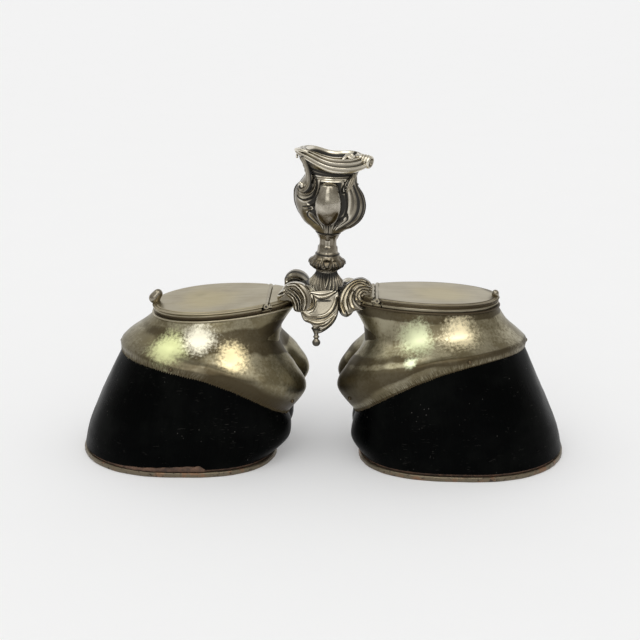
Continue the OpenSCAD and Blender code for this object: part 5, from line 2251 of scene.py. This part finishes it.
    def pendant(self) -> Surface:
        """Returns: the ball drop under the front shield."""
        profile = [
            (0.05, -2.4), (1.4, -2.0), (2.3, -0.8), (2.35, 0.5), (1.6, 1.7), (1.2, 2.3), (1.5, 2.9),
        ]
        profile += [
            (1.9, 3.4), (1.4, 4.2), (1.3, 5.2), (1.7, 6.2), (2.3, 7.6), (2.8, 9.0), (0.05, 9.1),
        ]
        at = np.array([-3.0, -21.0, 73.4])
        return lathe(profile, 1.0, 70, 40).placed(lambda p: p + at)

    def corner(self, side: Side) -> Surface:
        """Args: side. Returns: its front scroll, the one behind it and the leaves between them."""
        arch, curl = (self.ARCH, self.arch_relief), (self.CURL, self.curl_relief)
        if side is Side.LEFT:
            parts = [self.scroll(*arch), self.scroll(*curl, 0.8, (20, 20), (-4.0, 0.4), True)]
            half_w = [1.8, 2.8, 3.0, 2.6, 0.9]
        else:
            parts = [self.scroll(*curl), self.scroll(*arch, 0.7, (-13, 29.6), (-1.0, -5.4), True)]
            half_w = [1.8, 2.7, 2.8, 2.4, 0.9]
        for keys in self.LEAVES[side]:
            path = np.reshape(keys, (-1, 3))
            parts.append(strap(path, half_w, [1.5] * 5, (0, 0, -1), ridges=4, count=70))
        return Surface.joined(parts)

    def bead_row(self, name: str, keys: Pairs, count: int, radius: float) -> None:
        """Sets a row of beads in a groove of a scroll.

        Args:
            name: the piece's name.
            keys: the row's path in the leaning plane.
            count: how many beads.
            radius: of each.
        """
        flat = np.array([(u, v, 2.0 - self.bent(u)) for u, v in keys])
        row = in_plane(self.shield_at, self.shield_lean)(flat)
        string = beads(name, row, count, radius, Slot.CASTING.material())
        fit(string, "root", Slot.CASTING)

    def build(self) -> None:
        """Builds and dresses the bracket's pieces."""
        shield, pendant = self.shield(), self.pendant()
        for name, surface, rounds in (
            ("bracket_saddle", self.saddle(), 14), ("shield_front", shield, 15),
            ("shield_back", shield.placed(to_back), 15), ("pendant_front", pendant, 8),
            ("pendant_back", pendant.placed(to_back), 8),
            ("scroll_left", self.corner(Side.LEFT), 9),
            ("scroll_right", self.corner(Side.RIGHT), 9),
        ):
            surface.mark_hollows(rounds)
            piece = surface.build(f"{name}_fine", Slot.CASTING.material(), 60)
            fit(piece, "root", Slot.CASTING, name)
        groove = [(-16.4, 25.3), (-13.2, 23.6), (-10.0, 20.0), (-9.5, 17.0)]
        self.bead_row("scroll_beads_left", groove, 20, 0.3)
        edge = [(28.6, 29.8), (30.1, 28.0), (30.7, 25.8), (29.8, 24.2)]
        self.bead_row("scroll_beads_right", edge, 6, 0.7)


# Light, floor and camera


@dataclass(frozen=True)
class Window:
    """A soft bright patch in the studio, by its direction from the stand in degrees."""

    az: float
    el: float
    half_az: float
    half_el: float
    strength: float
    colour: Colour = (1.0, 1.0, 1.0)
    edge: float = 6.0

    def glow(self, az: Array, el: Array) -> Array:
        """Args: az, el: directions. Returns: the light that comes from each, as RGB."""
        side = np.abs(az - self.az) - self.half_az
        tall = np.abs(el - self.el) - self.half_el
        inside = np.clip(0.5 - side / self.edge, 0, 1) * np.clip(0.5 - tall / self.edge, 0, 1)
        return (self.strength * inside)[..., None] * np.array(self.colour)


@dataclass
class Studio:
    """A plain pale floor, soft light and the camera; room and floor are measured in metres."""

    target: Point = (0.0, 0.0, 80.6)
    distance: float = 950.0
    elevation: float = 17.5
    azimuth: float = 2.3
    focal_px: float = 1580.0
    shift_px: float = 2.75
    background: Colour = (0.91, 0.91, 0.91)
    paper: Colour = (0.72, 0.72, 0.72)
    paper_glow: float = 0.2
    ambient: float = 0.86
    room_half: float = 118.0
    room_back_el: float = 36.0
    room_r: float = 1.7
    room_z: float = 0.08
    room_glow: float = 0.46
    room_tint: Colour = (1.0, 0.97, 0.9)
    floor_half: float = 4.0
    key_strength: float = 0.4
    key_spread: float = 50.0
    key_turn: Point = (38.0, -16.0, 0.0)
    photo_px: float = 640.0
    windows: tuple[Window, ...] = (
        Window(-25, 58, 78, 15, 0.7, (1.0, 0.99, 0.95), 26),
        Window(-88, 63, 30, 11, 1.3, (0.95, 1.0, 0.88)),
        Window(-9, 39, 15, 26, 1.6, (1.0, 1.0, 0.97), 9),
        Window(34, 61, 22, 11, 1.4, (1.0, 0.95, 0.86)),
        Window(37, 34, 10, 12, 0.9, (1.0, 0.95, 0.86), 8),
    )

    def camera(self) -> None:
        """Places the camera."""
        data = bpy.data.cameras.new("camera")
        data.sensor_width = 36.0
        data.lens = data.sensor_width * self.focal_px / self.photo_px
        data.shift_x = -self.shift_px / self.photo_px
        data.clip_start, data.clip_end = 0.05, 30.0
        cam = show("camera", data)
        a, e = math.radians(self.azimuth), math.radians(self.elevation)
        away = Vector((math.sin(a) * math.cos(e), -math.cos(a) * math.cos(e), math.sin(e)))
        cam.location = (Vector(self.target) + away * self.distance) * MM
        cam.rotation_euler = (-away).to_track_quat("-Z", "Y").to_euler()
        bpy.context.scene.camera = cam

    def world(self) -> None:
        """Makes the pale surroundings: full for the camera and reflections, softer as light."""
        world = bpy.data.worlds.new("surroundings")
        world.use_nodes = True
        bpy.context.scene.world = world
        nodes, links = world.node_tree.nodes, world.node_tree.links
        nodes.clear()
        path = nodes.new("ShaderNodeLightPath")
        seen = path.outputs["Is Camera Ray"]
        for ray in ("Is Transmission Ray", "Is Glossy Ray"):
            either = nodes.new("ShaderNodeMath")
            either.operation = "MAXIMUM"
            links.new(seen, either.inputs[0])
            links.new(path.outputs[ray], either.inputs[1])
            seen = either.outputs[0]
        mix, out = nodes.new("ShaderNodeMixShader"), nodes.new("ShaderNodeOutputWorld")
        links.new(seen, mix.inputs[0])
        glows = (((1.0, 1.0, 1.0), self.ambient), (self.background, 1.0))
        for k, (colour, strength) in enumerate(glows, 1):
            glow = nodes.new("ShaderNodeBackground")
            glow.inputs["Color"].default_value = (*colour, 1)
            glow.inputs["Strength"].default_value = strength
            links.new(glow.outputs[0], mix.inputs[k])
        links.new(mix.outputs[0], out.inputs["Surface"])

    def room(self) -> None:
        """Hangs the dim studio room with its soft windows, which only reflections see."""
        az = np.linspace(-180, 180, 241)
        el = np.linspace(-4, 89, 94)
        a, e = (np.radians(v) for v in np.meshgrid(az, el))
        points = np.stack([np.sin(a) * np.cos(e), -np.cos(a) * np.cos(e), np.sin(e)], -1)
        points = points * self.room_r + np.array([0, 0, self.room_z])
        az_deg, el_deg = np.meshgrid(az, el)
        keep = (np.abs(az_deg) < self.room_half) | (el_deg > self.room_back_el)
        cols = len(az)
        i, j = np.meshgrid(np.arange(len(el) - 1), np.arange(cols - 1), indexing="ij")
        faces = np.stack(
            [i * cols + j, i * cols + j + 1, (i + 1) * cols + j + 1, (i + 1) * cols + j], -1,
        )
        shown = keep[:-1, :-1] & keep[1:, 1:] & keep[:-1, 1:] & keep[1:, :-1]
        mesh = bpy.data.meshes.new("room")
        mesh.from_pydata(points.reshape(-1, 3).tolist(), [], faces[shown].tolist())
        height = np.clip((el_deg - 22) / 40, 0, 1)
        glow = (self.room_glow + 0.1 * height**1.3)[..., None] * np.array(self.room_tint)
        for window in self.windows:
            glow = glow + window.glow(az_deg, el_deg)
        tints = ("red", "green", "blue")
        for k, name in enumerate(tints):
            attribute = mesh.attributes.new(name, "FLOAT", "POINT")
            attribute.data.foreach_set("value", glow[..., k].astype(np.float32).ravel())
        g = Graph("room glow")
        colour = g.node("ShaderNodeCombineColor", None, *(g.mark(name) for name in tints))
        shine = g.node("ShaderNodeEmission", None, colour, 1.0)
        g.tree.links.new(shine.socket, g.output.inputs["Surface"])
        mesh.materials.append(g.material)
        dome = show("room", mesh)
        dome.visible_camera = dome.visible_diffuse = dome.visible_shadow = False
        dome.visible_transmission = dome.visible_volume_scatter = False

    def floor(self) -> None:
        """Lays the pale floor."""
        g = Graph("pale paper")
        fleck = g.noise(g.places(), 0.02, 3.0)
        seen = g.node("ShaderNodeLightPath", None, out="Is Camera Ray")
        for ray in ("Is Glossy Ray", "Is Transmission Ray"):
            seen = seen.largest(g.node("ShaderNodeLightPath", None, out=ray))
        glow = (self.paper_glow,) * 3
        material = g.finish(
            Base_Color=g.mix(fleck, self.paper, tuple(0.985 * c for c in self.paper)),
            Roughness=0.9, Emission_Color=g.mix(seen, (0.0, 0.0, 0.0), glow), Emission_Strength=1.0
        )
        mesh = bpy.data.meshes.new("floor")
        half = self.floor_half
        corners = [(-half, -half, 0), (half, -half, 0), (half, half, 0), (-half, half, 0)]
        mesh.from_pydata(corners, [], [(0, 1, 2, 3)])
        mesh.materials.append(material)
        show("floor", mesh)

    def build(self) -> None:
        """Sets up the studio."""
        bpy.context.scene.view_settings.view_transform = "Standard"
        self.camera()
        self.world()
        self.floor()
        self.room()
        sun = bpy.data.lights.new("key", "SUN")
        sun.energy, sun.angle = self.key_strength, math.radians(self.key_spread)
        turn = (math.radians(v) for v in self.key_turn)
        show("key", sun).rotation_euler = tuple(turn)


def main() -> None:
    """Builds the inkstand, its light and its camera."""
    logging.basicConfig(level=logging.INFO, format="%(message)s")
    left = LidFrame(Side.LEFT, 4.4, 1.4, 96.6, 69.6)
    right = LidFrame(Side.RIGHT, 1.6, -2.5, 99.5, 72.4)
    left_dents = [((73.0, -39.5, 71.1), 10.0, 0.9), ((60.0, -44.0, 63.0), 7.0, 0.35)]
    right_dents = [((91.8, -44.5, 73.2), 6.0, 0.7), ((102.8, -31.6, 76.3), 7.0, 0.6)]
    Hoof(
        left, 27.0, 19.0, 63.5, 1.5, 1.0, 2.2, heel_drop=36.8, heel_fall=2.73, waist_up=15.6,
        belly_up=8.7, dents=left_dents,
    ).build()
    Hoof(
        right, 22.0, 17.0, 67.0, 2.5, 0.8, 0.0, heel_drop=40.0, heel_fall=2.2, waist_in=10.5,
        waist_up=15.2, belly_up=8.2, dents=right_dents,
    ).build()
    Top(left).build()
    Top(right).build()
    CandleHolder().build()
    Bracket().build()
    Studio().build()


if __name__ == "__main__":
    main()
